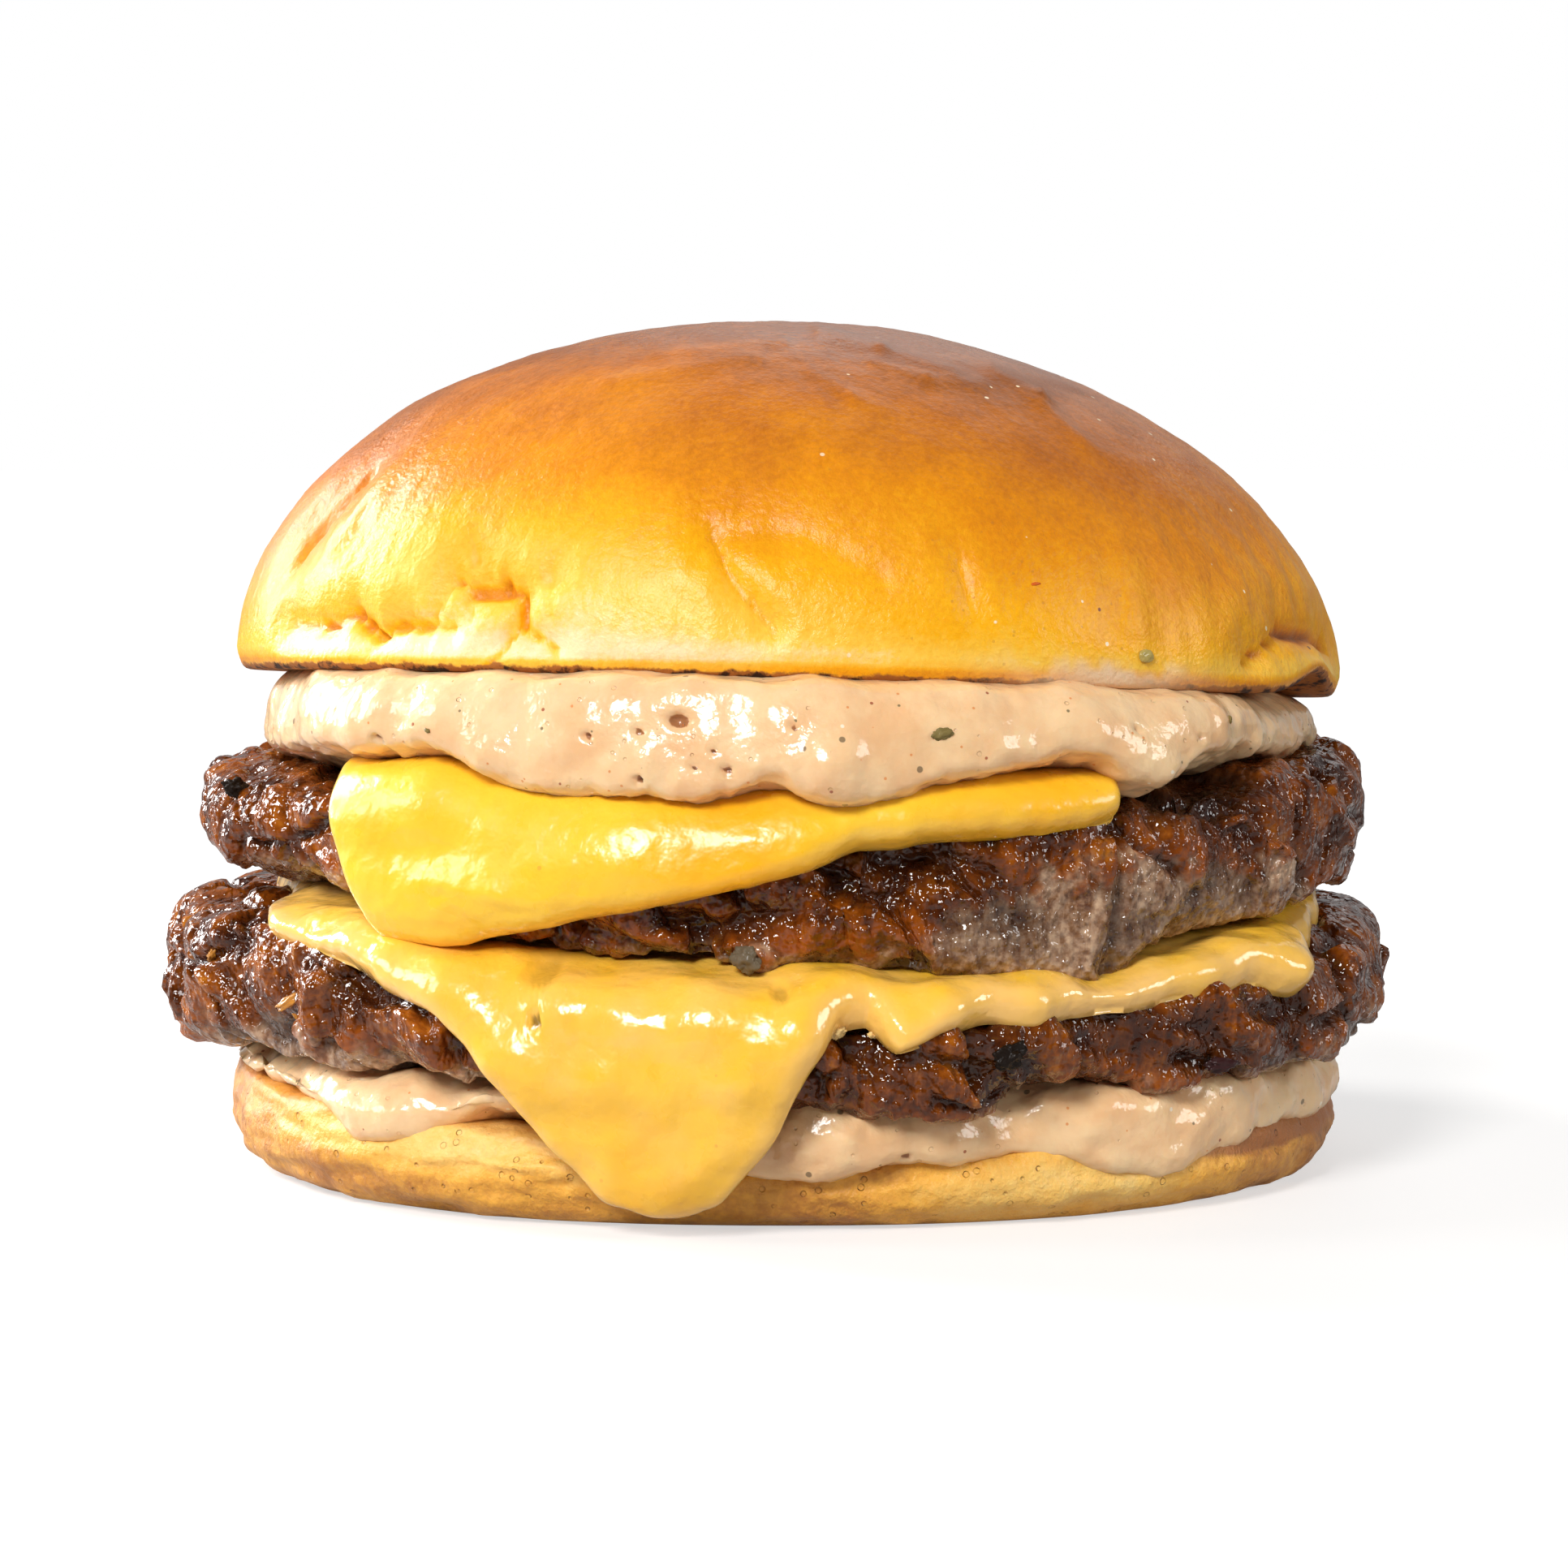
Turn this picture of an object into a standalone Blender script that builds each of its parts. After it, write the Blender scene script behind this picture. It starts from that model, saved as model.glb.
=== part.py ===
"""Double cheeseburger: two browned patties, each under a melted slice, with sauce in a glazed bun.

Units are metres with +Z up. The burger stands on z = 0 and its shown side faces -Y.
Every layer is a loft of upright sections set round the burger's axis. A section is a short list of
(radius, height) control points in millimetres, from the top of the axis, round the rim, to the
bottom of the axis. A turn is the direction of a section in degrees: 0 faces -Y and 90 faces +X.
Soft layers are made a little too deep, and are then cut back from the firm ones that they lie on.
"""

import math

import bmesh
import bpy
import numpy as np
from mathutils import Vector, noise

MM = 0.001

# Driving sizes, in millimetres
BUN_HALF_WIDTH = 54.2
BUN_HALF_DEPTH = 53.4
BURGER_HEIGHT = 81.0
LOWER_PATTY_BASE, LOWER_PATTY_TOP = 12.0, 23.6
UPPER_PATTY_BASE, UPPER_PATTY_TOP = 26.0, 38.4
CROWN_BASE = 45.6
CROWN_PITCH = 0.073  # the crown leans back, so its cut face rises towards -Y
CROWN_ROLL = 0.026  # and it dips a little towards +X
CLEARANCE = 0.4  # left between layers that touch

# Fineness of the lofts
CROWN_SPOKES, CROWN_RINGS = 72, 21
HEEL_SPOKES, HEEL_RINGS = 48, 13
PATTY_SPOKES, PATTY_RINGS = 64, 14
SLICE_SPOKES = 76
LOWER_SLICE_RINGS, UPPER_SLICE_RINGS = 21, 15
SAUCE_SPOKES, SAUCE_RINGS = 48, 13
FLAT_ENOUGH = math.radians(1.2)  # neighbouring triangles closer in direction than this are merged


def around(table):
    """A smooth closed curve through (turn, value) pairs, with no overshoot between them."""
    turns = np.array([turn for turn, _ in table], float)
    values = np.array([value for _, value in table], float)
    turns = np.concatenate([turns[-2:] - 360, turns, turns[:2] + 360])
    values = np.concatenate([values[-2:], values, values[:2]])
    steps = np.diff(values) / np.diff(turns)
    before, after = steps[:-1], steps[1:]
    slopes = np.zeros_like(values)
    same_way = before * after > 0
    slopes[1:-1][same_way] = (2 * before * after)[same_way] / (before + after)[same_way]

    def at(turn):
        turn = (np.asarray(turn, float) - table[0][0]) % 360 + table[0][0]
        span = np.clip(np.searchsorted(turns, turn, side="right") - 1, 0, len(steps) - 1)
        width = turns[span + 1] - turns[span]
        t = (turn - turns[span]) / width
        rise = t * t * (3 - 2 * t)
        return (
            values[span] * (1 - rise)
            + values[span + 1] * rise
            + slopes[span] * width * t * (1 - t) ** 2
            - slopes[span + 1] * width * t * t * (1 - t)
        )

    return at


def step_between(value, low, high):
    """0 below low, 1 above high and smooth between."""
    t = np.clip((value - low) / (high - low), 0, 1)
    return t * t * (3 - 2 * t)


def squarish(turn, half_width, half_depth, power):
    """Radius of a rounded square, as buns get when they are baked side by side."""
    angle = np.radians(turn)
    across, along = np.abs(np.sin(angle)) / half_width, np.abs(np.cos(angle)) / half_depth
    return (across**power + along**power) ** (-1 / power)


def section_curves(controls, count):
    """Cubic B-splines with `count` places each, one for every turn, as an array [turn, place, 2]."""
    radii, heights = zip(*controls)
    points = np.stack(np.broadcast_arrays(*radii, *heights), axis=-1)
    points = points.reshape(len(points), 2, len(controls)).transpose(0, 2, 1)
    points = np.concatenate([points[:, :1]] * 2 + [points] + [points[:, -1:]] * 2, axis=1)
    spans = points.shape[1] - 3
    place = np.linspace(0, spans, count)
    span = np.minimum(place.astype(int), spans - 1)
    t = place - span
    weights = [(1 - t) ** 3, 3 * t**3 - 6 * t**2 + 4, -3 * t**3 + 3 * t**2 + 3 * t + 1, t**3]
    return sum(points[:, span + k] * (w / 6)[:, None] for k, w in enumerate(weights))


def material(name, colour, roughness):
    made = bpy.data.materials.new(name)
    made.use_nodes = True
    shader = made.node_tree.nodes["Principled BSDF"]
    shader.inputs["Base Color"].default_value = (*colour, 1)
    shader.inputs["Roughness"].default_value = roughness
    shader.inputs["Metallic"].default_value = 0
    return made


def even_turns(spokes):
    return np.arange(spokes) * 360 / spokes - 180


def to_triangles(whole, mesh):
    """Merges the triangles of nearly flat stretches, and writes the rest to the mesh."""
    bmesh.ops.dissolve_limit(whole, angle_limit=FLAT_ENOUGH, verts=whole.verts, edges=whole.edges)
    bmesh.ops.triangulate(whole, faces=whole.faces)
    whole.to_mesh(mesh)
    whole.free()


def loft(name, turns, curves, finish, relief=None):
    """A closed body: a ball whose meridians are laid on the section curves."""
    spokes, rings = curves.shape[0], curves.shape[1] - 1
    ball = bmesh.new()
    bmesh.ops.create_uvsphere(ball, u_segments=spokes, v_segments=rings, radius=1)
    spots = np.array([vert.co for vert in ball.verts])
    ball_turn = np.degrees(np.arctan2(spots[:, 0], -spots[:, 1]))
    spoke = np.rint((ball_turn + 180) * spokes / 360).astype(int) % spokes
    ring = np.rint(np.arccos(np.clip(spots[:, 2], -1, 1)) / math.pi * rings).astype(int)
    radius, height = curves[spoke, ring].T
    turn = turns[spoke]
    if relief:
        radius, height = relief(turn, radius, height)
    angle = np.radians(turn)
    places = np.stack([radius * np.sin(angle), -radius * np.cos(angle), height], axis=1)
    for vert, place in zip(ball.verts, places):
        vert.co = Vector(place) * MM
    mesh = bpy.data.meshes.new(name)
    to_triangles(ball, mesh)
    mesh.shade_smooth()
    mesh.set_sharp_from_angle(angle=math.radians(50))
    mesh.materials.append(finish)
    body = bpy.data.objects.new(name, mesh)
    burger.objects.link(body)
    return body


def lumps(turn, height, size, seed):
    """Soft noise from -1 to 1 round a layer's side, with lumps of about that size in millimetres."""
    angle = np.radians(turn)
    spots = np.stack([np.sin(angle) * 57, np.cos(angle) * 57, np.broadcast_to(height, angle.shape)])
    return np.array([noise.noise(Vector(spot / size) + Vector((seed, seed, seed))) for spot in spots.T])


# Bun heel: thin, squeezed at the front, with a flat foot and a toasted cut edge


HEEL_RIM = around([(-90, 10.2), (-50, 9.0), (0, 7.4), (45, 7.0), (90, 7.4), (135, 9.0), (180, 10.0)])


def heel_radius(turn):
    return squarish(turn, BUN_HALF_WIDTH, BUN_HALF_DEPTH, 2.35)


def heel_section(turn):
    r, rim = heel_radius(turn), HEEL_RIM(turn)
    return [
        (0 * r, 9.8), (0.5 * r, 9.6), (0.88 * r, rim + 0.6), (0.965 * r, rim), (0.985 * r, rim),
        (0.995 * r, 0.84 * rim), (1.006 * r, 0.58 * rim), (0.995 * r, 0.32 * rim), (0.965 * r, 0.1 * rim),
        (0.925 * r, 0), (0.9 * r, 0), (0.8 * r, 0), (0.4 * r, 0), (0 * r, 0),
    ]


# Patties: uneven discs of minced beef whose rims rise at the sides and sag at the front


class Patty:
    """The carrying form of one patty: its rim radius, and its rim's upper and lower height."""

    def __init__(self, base, top, radius, upper_rim, lower_rim, seed):
        self.base, self.top, self.seed = base, top, seed
        self.rim_radius, self.upper_rim, self.lower_rim = around(radius), around(upper_rim), around(lower_rim)

    def radius(self, turn):
        return self.rim_radius(turn) + 0.7 * lumps(turn, self.base, 11, self.seed)

    def top_controls(self, turn):
        r, high, low = self.radius(turn), self.upper_rim(turn), self.lower_rim(turn)
        return [
            (0 * r, self.top), (0.45 * r, self.top), (0.76 * r, 0.4 * self.top + 0.6 * high),
            (0.91 * r, high), (0.985 * r, high - 1.3), (1.0 * r, 0.68 * high + 0.32 * low),
        ]

    def section(self, turn):
        r, high, low = self.radius(turn), self.upper_rim(turn), self.lower_rim(turn)
        return self.top_controls(turn) + [
            (1.0 * r, 0.3 * high + 0.7 * low), (0.975 * r, low + 0.8),
            (0.93 * r, 0.75 * low + 0.25 * self.base), (0.82 * r, self.base - 0.2),
            (0.4 * r, self.base), (0 * r, self.base),
        ]

    def drape(self, turn):
        """The way a soft sheet takes over the top and down past the rim, almost to the table."""
        r, high, low = self.radius(turn), self.upper_rim(turn), self.lower_rim(turn)
        return self.top_controls(turn) + [
            (1.0 * r, 0.3 * high + 0.7 * low), (0.995 * r, low), (0.98 * r, low - 3.5),
            (0.955 * r, low - 7), (0.935 * r, low - 11), (0.93 * r, low - 14),
        ]

    def crust(self, turn, radius, height):
        """Browned crags and clefts round the side, all cut into the carrying form."""
        side = step_between(radius, 42, 52)
        crags = np.minimum(0.12, lumps(turn, height, 7.5, self.seed + 3))
        clefts = np.maximum(0, 1 - np.abs(lumps(turn, height * 0.35, 9, self.seed + 9)) / 0.14)
        radius = radius + side * (3.2 * crags - 1.5 * clefts)
        return radius, height + side * 0.7 * lumps(turn, radius, 6.5, self.seed + 5)


lower_patty = Patty(
    LOWER_PATTY_BASE,
    LOWER_PATTY_TOP,
    radius=[(-150, 58.8), (-120, 59.3), (-90, 61.3), (-62, 60.8), (-35, 59.6), (0, 59.6), (15, 60.6),
            (35, 59.8), (60, 60.2), (90, 59.8), (120, 59), (155, 58.2)],
    upper_rim=[(-150, 23.4), (-88, 24.8), (-45, 23.8), (-12, 22), (30, 21.6), (60, 23.4), (90, 24.4),
               (140, 23.4)],
    lower_rim=[(-140, 11.6), (-88, 11.4), (-58, 13.2), (-29, 13.6), (-5, 11.6), (15, 9.6), (29, 12.4),
               (43, 11.2), (70, 11.4), (90, 11.8), (140, 11.2), (175, 10.2)],
    seed=2.7,
)
upper_patty = Patty(
    UPPER_PATTY_BASE,
    UPPER_PATTY_TOP,
    radius=[(-150, 56.3), (-120, 56.5), (-90, 57.3), (-62, 57.6), (-40, 56.6), (0, 57), (30, 57.7),
            (60, 57.7), (90, 56.9), (125, 56.8), (160, 56)],
    upper_rim=[(-150, 38), (-90, 39.6), (-58, 39), (-40, 38.2), (0, 38.2), (26, 38.6), (50, 40),
               (80, 40.8), (130, 38.6)],
    lower_rim=[(-150, 25.6), (-90, 27.8), (-60, 27.4), (-35, 25.4), (-10, 24.4), (14, 22.8), (28, 22.9),
               (44, 25.6), (70, 26.4), (90, 26.6), (140, 26)],
    seed=14.1,
)


# Cheese slices: square sheets, melted over the patties and down their sides


class Slice:
    """A sheet laid on a patty. Its hem is a list of (turn, radius, height) round the sheet's edge."""

    UNROLLED = 57.0  # radius at which the outline is unrolled, to measure along it

    def __init__(self, patty, hem, thickness, filling):
        self.patty, self.thickness, self.filling = patty, thickness, filling
        turns, radii, heights = np.array(hem, float).T
        path, run, _ = self.route(turns)
        gaps = np.hypot(path[..., 0] - radii[:, None], path[..., 1] - heights[:, None])
        reach = run[np.arange(len(hem)), gaps.argmin(axis=1)]
        self.reach = around(list(zip(turns, reach)))

    def route(self, turns):
        """The way over the patty, with the length run along it and its direction at each point."""
        path = section_curves(self.patty.drape(turns), 300)
        steps = np.diff(path, axis=1)
        lengths = np.linalg.norm(steps, axis=2)
        run = np.concatenate([np.zeros((len(turns), 1)), np.cumsum(lengths, axis=1)], axis=1)
        ways = steps / np.maximum(lengths, 1e-6)[..., None]
        return path, run, np.concatenate([ways, ways[:, -1:]], axis=1)

    def turns(self, spokes):
        """Spokes set evenly along the sheet's outline, so that steep edges get enough of them."""
        fine = np.arange(-180, 180.01, 0.25)
        steps = np.radians(np.diff(fine)) * self.UNROLLED + np.abs(np.diff(self.reach(fine)))
        run = np.concatenate([[0], np.cumsum(steps) / steps.sum()])
        return np.interp(np.arange(spokes) / spokes, run, fine)

    def from_edge(self, turn, along):
        """Distance from places on the sheet to the nearest point of its outline, in millimetres."""
        fine = np.arange(-200, 200, 1.0)
        rim = np.stack([np.radians(fine) * self.UNROLLED, self.reach(fine)], axis=1)
        spots = np.stack([np.radians(turn) * self.UNROLLED + 0 * along, along], axis=-1)
        gaps = np.linalg.norm(spots[..., None, :] - rim, axis=-1)
        return gaps.min(axis=-1)

    def curves(self, turns, rings):
        """Section curves: out along the upper face to the edge, and back along the lower face."""
        path, run, ways = self.route(turns)
        half = rings // 2
        outward = 1 - (1 - np.arange(half) / (half - 1)) ** 1.35
        share = np.concatenate([[0], 0.42 + 0.58 * outward])
        along = self.reach(turns)[:, None] * share
        depth = np.minimum(self.from_edge(turns[:, None], along), self.thickness)
        rounding = 0.5 + 0.5 * np.sqrt(1 - (1 - depth / self.thickness) ** 2)
        thickness = self.filling + (self.thickness - self.filling) * step_between(along, 44, 55)
        made = np.empty((len(turns), 2 * half + 2, 2))
        for k in range(len(turns)):
            spot = np.stack([np.interp(along[k], run[k], path[k, :, axis]) for axis in (0, 1)], axis=1)
            way = np.stack([np.interp(along[k], run[k], ways[k, :, axis]) for axis in (0, 1)], axis=1)
            out = np.stack([-way[:, 1], way[:, 0]], axis=1)
            out[0] = (0, 1)
            out /= np.linalg.norm(out, axis=1)[:, None]
            hangs = step_between(self.patty.base + 1 - spot[:, 1], -3, 3)
            lift = thickness[k] * rounding[k] * (1 - 0.3 * hangs)
            sink = 0.9 - hangs * (0.9 - 0.3 * self.thickness * rounding[k])
            made[k, : half + 1] = spot + out * lift[:, None]
            made[k, half + 1 :] = (spot - out * sink[:, None])[::-1]
        made[:, [0, -1], 0] = 0
        return made


lower_slice = Slice(
    lower_patty,
    hem=[(-160, 52, 24), (-130, 54.5, 23.5), (-100, 53, 25), (-75, 54.5, 25), (-55, 55, 24.5),
         (-44, 56.5, 23.8), (-37, 58, 22.2), (-31, 59, 18.8), (-26.5, 59, 15.4), (-22.5, 58, 10.2),
         (-19, 57, 6.2), (-15.5, 56, 3.2), (-10.5, 55.5, 1.8), (-6.5, 56, 2.8), (-3.2, 56.5, 6.2),
         (-0.8, 58, 10.3), (2, 59, 16.2), (5, 59, 20.2), (7, 59, 20.8), (9.6, 59, 16.8), (13.5, 59, 18.2),
         (19, 59, 21), (29, 59, 21.8), (40, 59, 22.4), (47, 59, 21.4), (52, 59.5, 19.9), (56, 58.5, 22),
         (60, 56, 24), (80, 53, 25), (110, 52, 24.6), (140, 56, 23.2), (154, 58.4, 19.5),
         (164, 58.4, 15.5), (176, 58, 19)],
    thickness=2.5,
    filling=3.6,
)
upper_slice = Slice(
    upper_patty,
    hem=[(-165, 50, 38.5), (-150, 54, 37.6), (-140, 56.4, 33.5), (-132, 55.8, 36.4), (-110, 48, 39),
         (-80, 47, 39), (-60, 50, 39), (-50, 53.5, 38.6), (-47, 56, 35.5), (-44.5, 56.8, 30.5),
         (-40, 57, 26.8), (-32, 57, 26.6), (-24, 57, 27.2), (-15.5, 57, 29), (-5, 57, 30.8),
         (2, 57, 32.8), (7, 57, 35), (17, 57, 36.1), (27, 57, 36.1), (31, 56.8, 36.6), (33, 55, 38.3),
         (36, 48, 38.8), (60, 43, 39), (90, 43, 39), (115, 50, 39), (128, 53, 38), (150, 50, 38.5),
         (175, 46, 38.6)],
    thickness=3.3,
    filling=2.4,
)


# Sauce: a loose layer squeezed out between bun and filling


LOWER_SAUCE_RIM = around([
    (-120, 52), (-90, 53.5), (-62, 55), (-42, 57.6), (-30, 55), (-10, 54.5), (8, 56.6), (20, 55),
    (38, 57.6), (55, 56.2), (90, 54.5), (130, 52), (165, 55.5),
])
LOWER_SAUCE_LOW = around([
    (-120, 9.5), (-90, 9.2), (-62, 9), (-42, 6.6), (-30, 8.6), (-10, 7.5), (4, 5.2), (15, 6.6),
    (24, 6.2), (38, 3.8), (50, 5.4), (70, 6.4), (95, 7), (130, 8.4), (165, 6),
])


def lower_sauce_section(turn):
    rim, low = LOWER_SAUCE_RIM(turn), LOWER_SAUCE_LOW(turn)
    flat = 0 * turn
    return [
        (flat, 13.2), (flat + 36, 13.2), (rim - 6, 13.4), (rim - 1.6, 12.2), (rim - 0.2, 10),
        (rim, low + 2), (rim - 0.6, low), (rim - 3.2, low - 0.3), (flat + 46, 6.5), (flat + 24, 7), (flat, 7),
    ]


UPPER_SAUCE_RIM = around([
    (-150, 50.5), (-110, 52), (-78, 54), (-55, 57), (-35, 58.6), (-15, 59.2), (5, 59.6), (25, 59),
    (38, 58.4), (62, 55), (90, 52.6), (130, 51.5), (170, 53),
])
UPPER_SAUCE_LOW = around([
    (-150, 38.5), (-110, 38.5), (-78, 40), (-54, 39.6), (-43, 42), (-30, 41.6), (-10, 40.2), (5, 40),
    (18, 41.6), (28, 43.4), (36, 39.4), (50, 40.6), (64, 40.4), (90, 39.6), (130, 38.6), (170, 37),
])


def cut_face(turn, radius):
    """Height of the crown's cut face, which leans back and dips to one side."""
    angle = np.radians(turn)
    return CROWN_BASE + radius * (CROWN_PITCH * np.cos(angle) - CROWN_ROLL * np.sin(angle))


def upper_sauce_section(turn):
    rim, low = UPPER_SAUCE_RIM(turn), UPPER_SAUCE_LOW(turn)
    face = cut_face(turn, 52)
    middle = (face + low) / 2
    flat = 0 * turn
    return [
        (flat, CROWN_BASE + 0.9), (flat + 30, cut_face(turn, 30) + 0.9),
        (flat + 46, cut_face(turn, 46) + 0.9), (rim - 3.4, face + 0.5), (rim - 1.6, face - 1.2),
        (rim - 0.3, middle + 0.6), (rim, low + 1.6), (rim - 0.8, low), (rim - 3.5, low - 0.6),
        (flat + 44, 37), (flat + 24, 36.8), (flat, 36.8),
    ]


# Crown: a glazed dome with baking creases low on its shown side


CREASES = [
    # turn and height of each end, half width and depth
    (-37.6, 57.9, -27.0, 57.0, 1.3, 1.6),
    (-37.6, 57.9, -39.0, 53.8, 1.2, 1.0),
    (-50.5, 53.8, -45.0, 52.0, 1.3, 1.7),
    (-45.0, 52.0, -33.0, 53.9, 1.3, 1.3),
    (-66.0, 52.7, -50.5, 53.2, 1.6, 1.4),
    (-27.3, 57.0, -26.6, 54.0, 1.3, 1.5),
    (-26.6, 54.0, -30.5, 49.9, 1.4, 1.2),
    (-26.6, 54.0, -22.0, 51.0, 1.2, 1.2),
    (-68.0, 58.6, -66.0, 65.5, 2.2, 1.4),
    (-7.8, 62.6, -2.0, 54.0, 1.8, 0.7),
    (52.0, 50.0, 61.0, 52.6, 1.6, 1.0),
    (61.0, 52.6, 79.0, 50.2, 1.6, 1.2),
    (10.0, 77.0, 30.0, 71.0, 3.0, 0.9),
    (38.0, 76.5, 48.0, 67.5, 3.0, 1.0),
    (118.0, 54.0, 140.0, 57.5, 1.8, 1.3),
    (140.0, 57.5, 152.0, 52.0, 1.5, 1.2),
    (-150.0, 52.5, -128.0, 54.5, 1.6, 1.3),
    (176.0, 64.0, 196.0, 56.0, 2.0, 0.8),
]


def crown_radius(turn):
    return squarish(turn, BUN_HALF_WIDTH, BUN_HALF_DEPTH, 2.1) * (1 + 0.008 * np.sin(np.radians(turn)))


def crown_section(turn):
    r, height = crown_radius(turn), BURGER_HEIGHT - CROWN_BASE
    dome = [
        (1.004 * r * math.sin(a), 1.004 * height * math.cos(a) + 0 * r)
        for a in np.linspace(0, math.radians(85), 12)
    ]
    return dome + [
        (0.996 * r, 0.02 * height), (0.985 * r, 0), (0.97 * r, 0), (0.93 * r, 0), (0.8 * r, 0),
        (0.4 * r, 0), (0 * r, 0),
    ]


def crown_relief(turn, radius, height):
    """Leans the dome back, presses the creases in and curls up the edge at the right front."""
    angle = np.radians(turn)
    face = CROWN_BASE + radius * (CROWN_PITCH * np.cos(angle) - CROWN_ROLL * np.sin(angle))
    skin = step_between(height, 1.0, 3.0)
    out = np.stack([radius / BUN_HALF_WIDTH**2, height / (BURGER_HEIGHT - CROWN_BASE) ** 2 + 1e-9])
    out /= np.hypot(*out)
    dent = np.zeros_like(radius)
    for turn_a, height_a, turn_b, height_b, half_width, depth in CREASES:
        scale = np.radians(1) * np.maximum(radius, 20)
        ahead = np.stack([(turn_b - turn_a) * scale, np.full_like(radius, height_b - height_a)])
        off = np.stack([((turn - turn_a + 180) % 360 - 180) * scale, face + height - height_a])
        place = np.clip((off * ahead).sum(0) / (ahead * ahead).sum(0), 0, 1)
        away = np.hypot(*(off - place * ahead))
        dent += depth * np.exp(-((away / half_width) ** 2))
    near_edge = step_between(radius, 44, 53) * (1 - step_between(height, 0, 6))
    curl = 2.2 * near_edge * np.exp(-(((turn - 69) / 7) ** 2))
    return radius - skin * dent * out[0], face + height - skin * dent * out[1] + curl


def grown(body):
    """A helper copy of a body, swollen by the clearance that its soft neighbours keep to it."""
    helper = body.copy()
    helper.name = body.name + "_grown"
    swell = helper.modifiers.new("swell", "DISPLACE")
    swell.strength, swell.mid_level = CLEARANCE * MM, 0
    helper.hide_render = True
    helper.display_type = "WIRE"
    helpers.objects.link(helper)
    return helper


def cut_back(body, *firm):
    """Takes the firm neighbours out of a soft body, and drops any scrap that this leaves loose."""
    for neighbour in firm:
        cut = body.modifiers.new("clear_of_" + neighbour.name, "BOOLEAN")
        cut.operation, cut.solver = "DIFFERENCE", "MANIFOLD"
        cut.object = grown(neighbour)
    bpy.context.view_layer.update()
    graph = bpy.context.evaluated_depsgraph_get()
    mesh = bpy.data.meshes.new_from_object(body.evaluated_get(graph))
    whole = bmesh.new()
    whole.from_mesh(mesh)
    left, pieces = set(whole.verts), []
    while left:
        piece, edge = set(), {left.pop()}
        while edge:
            piece |= edge
            edge = {e.other_vert(v) for v in edge for e in v.link_edges} - piece
        left -= piece
        pieces.append(piece)
    largest = max(pieces, key=len)
    bmesh.ops.delete(whole, geom=[v for v in whole.verts if v not in largest], context="VERTS")
    to_triangles(whole, mesh)
    body.modifiers.clear()
    body.data = mesh
    return body


for old in list(bpy.data.objects):
    bpy.data.objects.remove(old)
burger = bpy.data.collections.new("cheeseburger")
helpers = bpy.data.collections.new("helpers")
for collection in (burger, helpers):
    bpy.context.scene.collection.children.link(collection)

crust_brown = material("glazed_crust", (0.80, 0.42, 0.08), 0.3)
crumb = material("bun_side", (0.86, 0.55, 0.20), 0.5)
beef = material("seared_beef", (0.13, 0.05, 0.025), 0.35)
cheese = material("melted_cheese", (0.98, 0.60, 0.07), 0.3)
sauce = material("burger_sauce", (0.86, 0.60, 0.38), 0.25)

turns = even_turns(HEEL_SPOKES)
heel = loft("heel_bun", turns, section_curves(heel_section(turns), HEEL_RINGS + 1), crumb)
turns = even_turns(PATTY_SPOKES)
patties = [
    loft(name, turns, section_curves(form.section(turns), PATTY_RINGS + 1), beef, form.crust)
    for name, form in (("lower_patty", lower_patty), ("upper_patty", upper_patty))
]
turns = even_turns(CROWN_SPOKES)
crown_curves = section_curves(crown_section(turns), CROWN_RINGS + 1)
crown = loft("crown_bun", turns, crown_curves, crust_brown, crown_relief)

turns = lower_slice.turns(SLICE_SPOKES)
lower_cheese = loft("lower_cheese", turns, lower_slice.curves(turns, LOWER_SLICE_RINGS), cheese)
cut_back(lower_cheese, *patties, heel)
turns = upper_slice.turns(SLICE_SPOKES)
upper_cheese = loft("upper_cheese", turns, upper_slice.curves(turns, UPPER_SLICE_RINGS), cheese)
cut_back(upper_cheese, patties[1], lower_cheese)

turns = even_turns(SAUCE_SPOKES)
lower_sauce = loft("lower_sauce", turns, section_curves(lower_sauce_section(turns), SAUCE_RINGS + 1), sauce)
cut_back(lower_sauce, heel, patties[0], lower_cheese)
upper_sauce = loft("upper_sauce", turns, section_curves(upper_sauce_section(turns), SAUCE_RINGS + 1), sauce)
cut_back(upper_sauce, crown, patties[1], upper_cheese)
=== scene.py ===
"""The looks of a double cheeseburger: glazed bun, seared patties, melted slices and burger sauce.

Lengths are worked out in millimetres and set in metres, with +Z up. The burger stands on z = 0 and
its shown side faces -Y. A turn is a direction round the burger's axis in degrees: 0 faces -Y and 90
faces +X. Each layer is a ball whose meridians are laid on upright sections, and is then pressed in
and out along its own normals to give it crags, folds, bubbles and drips.
"""

import math

import bmesh
import bpy
import numpy as np
from bpy.props import FloatProperty, FloatVectorProperty, IntProperty, PointerProperty
from mathutils import Matrix, Vector, noise
from mathutils.bvhtree import BVHTree


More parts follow.
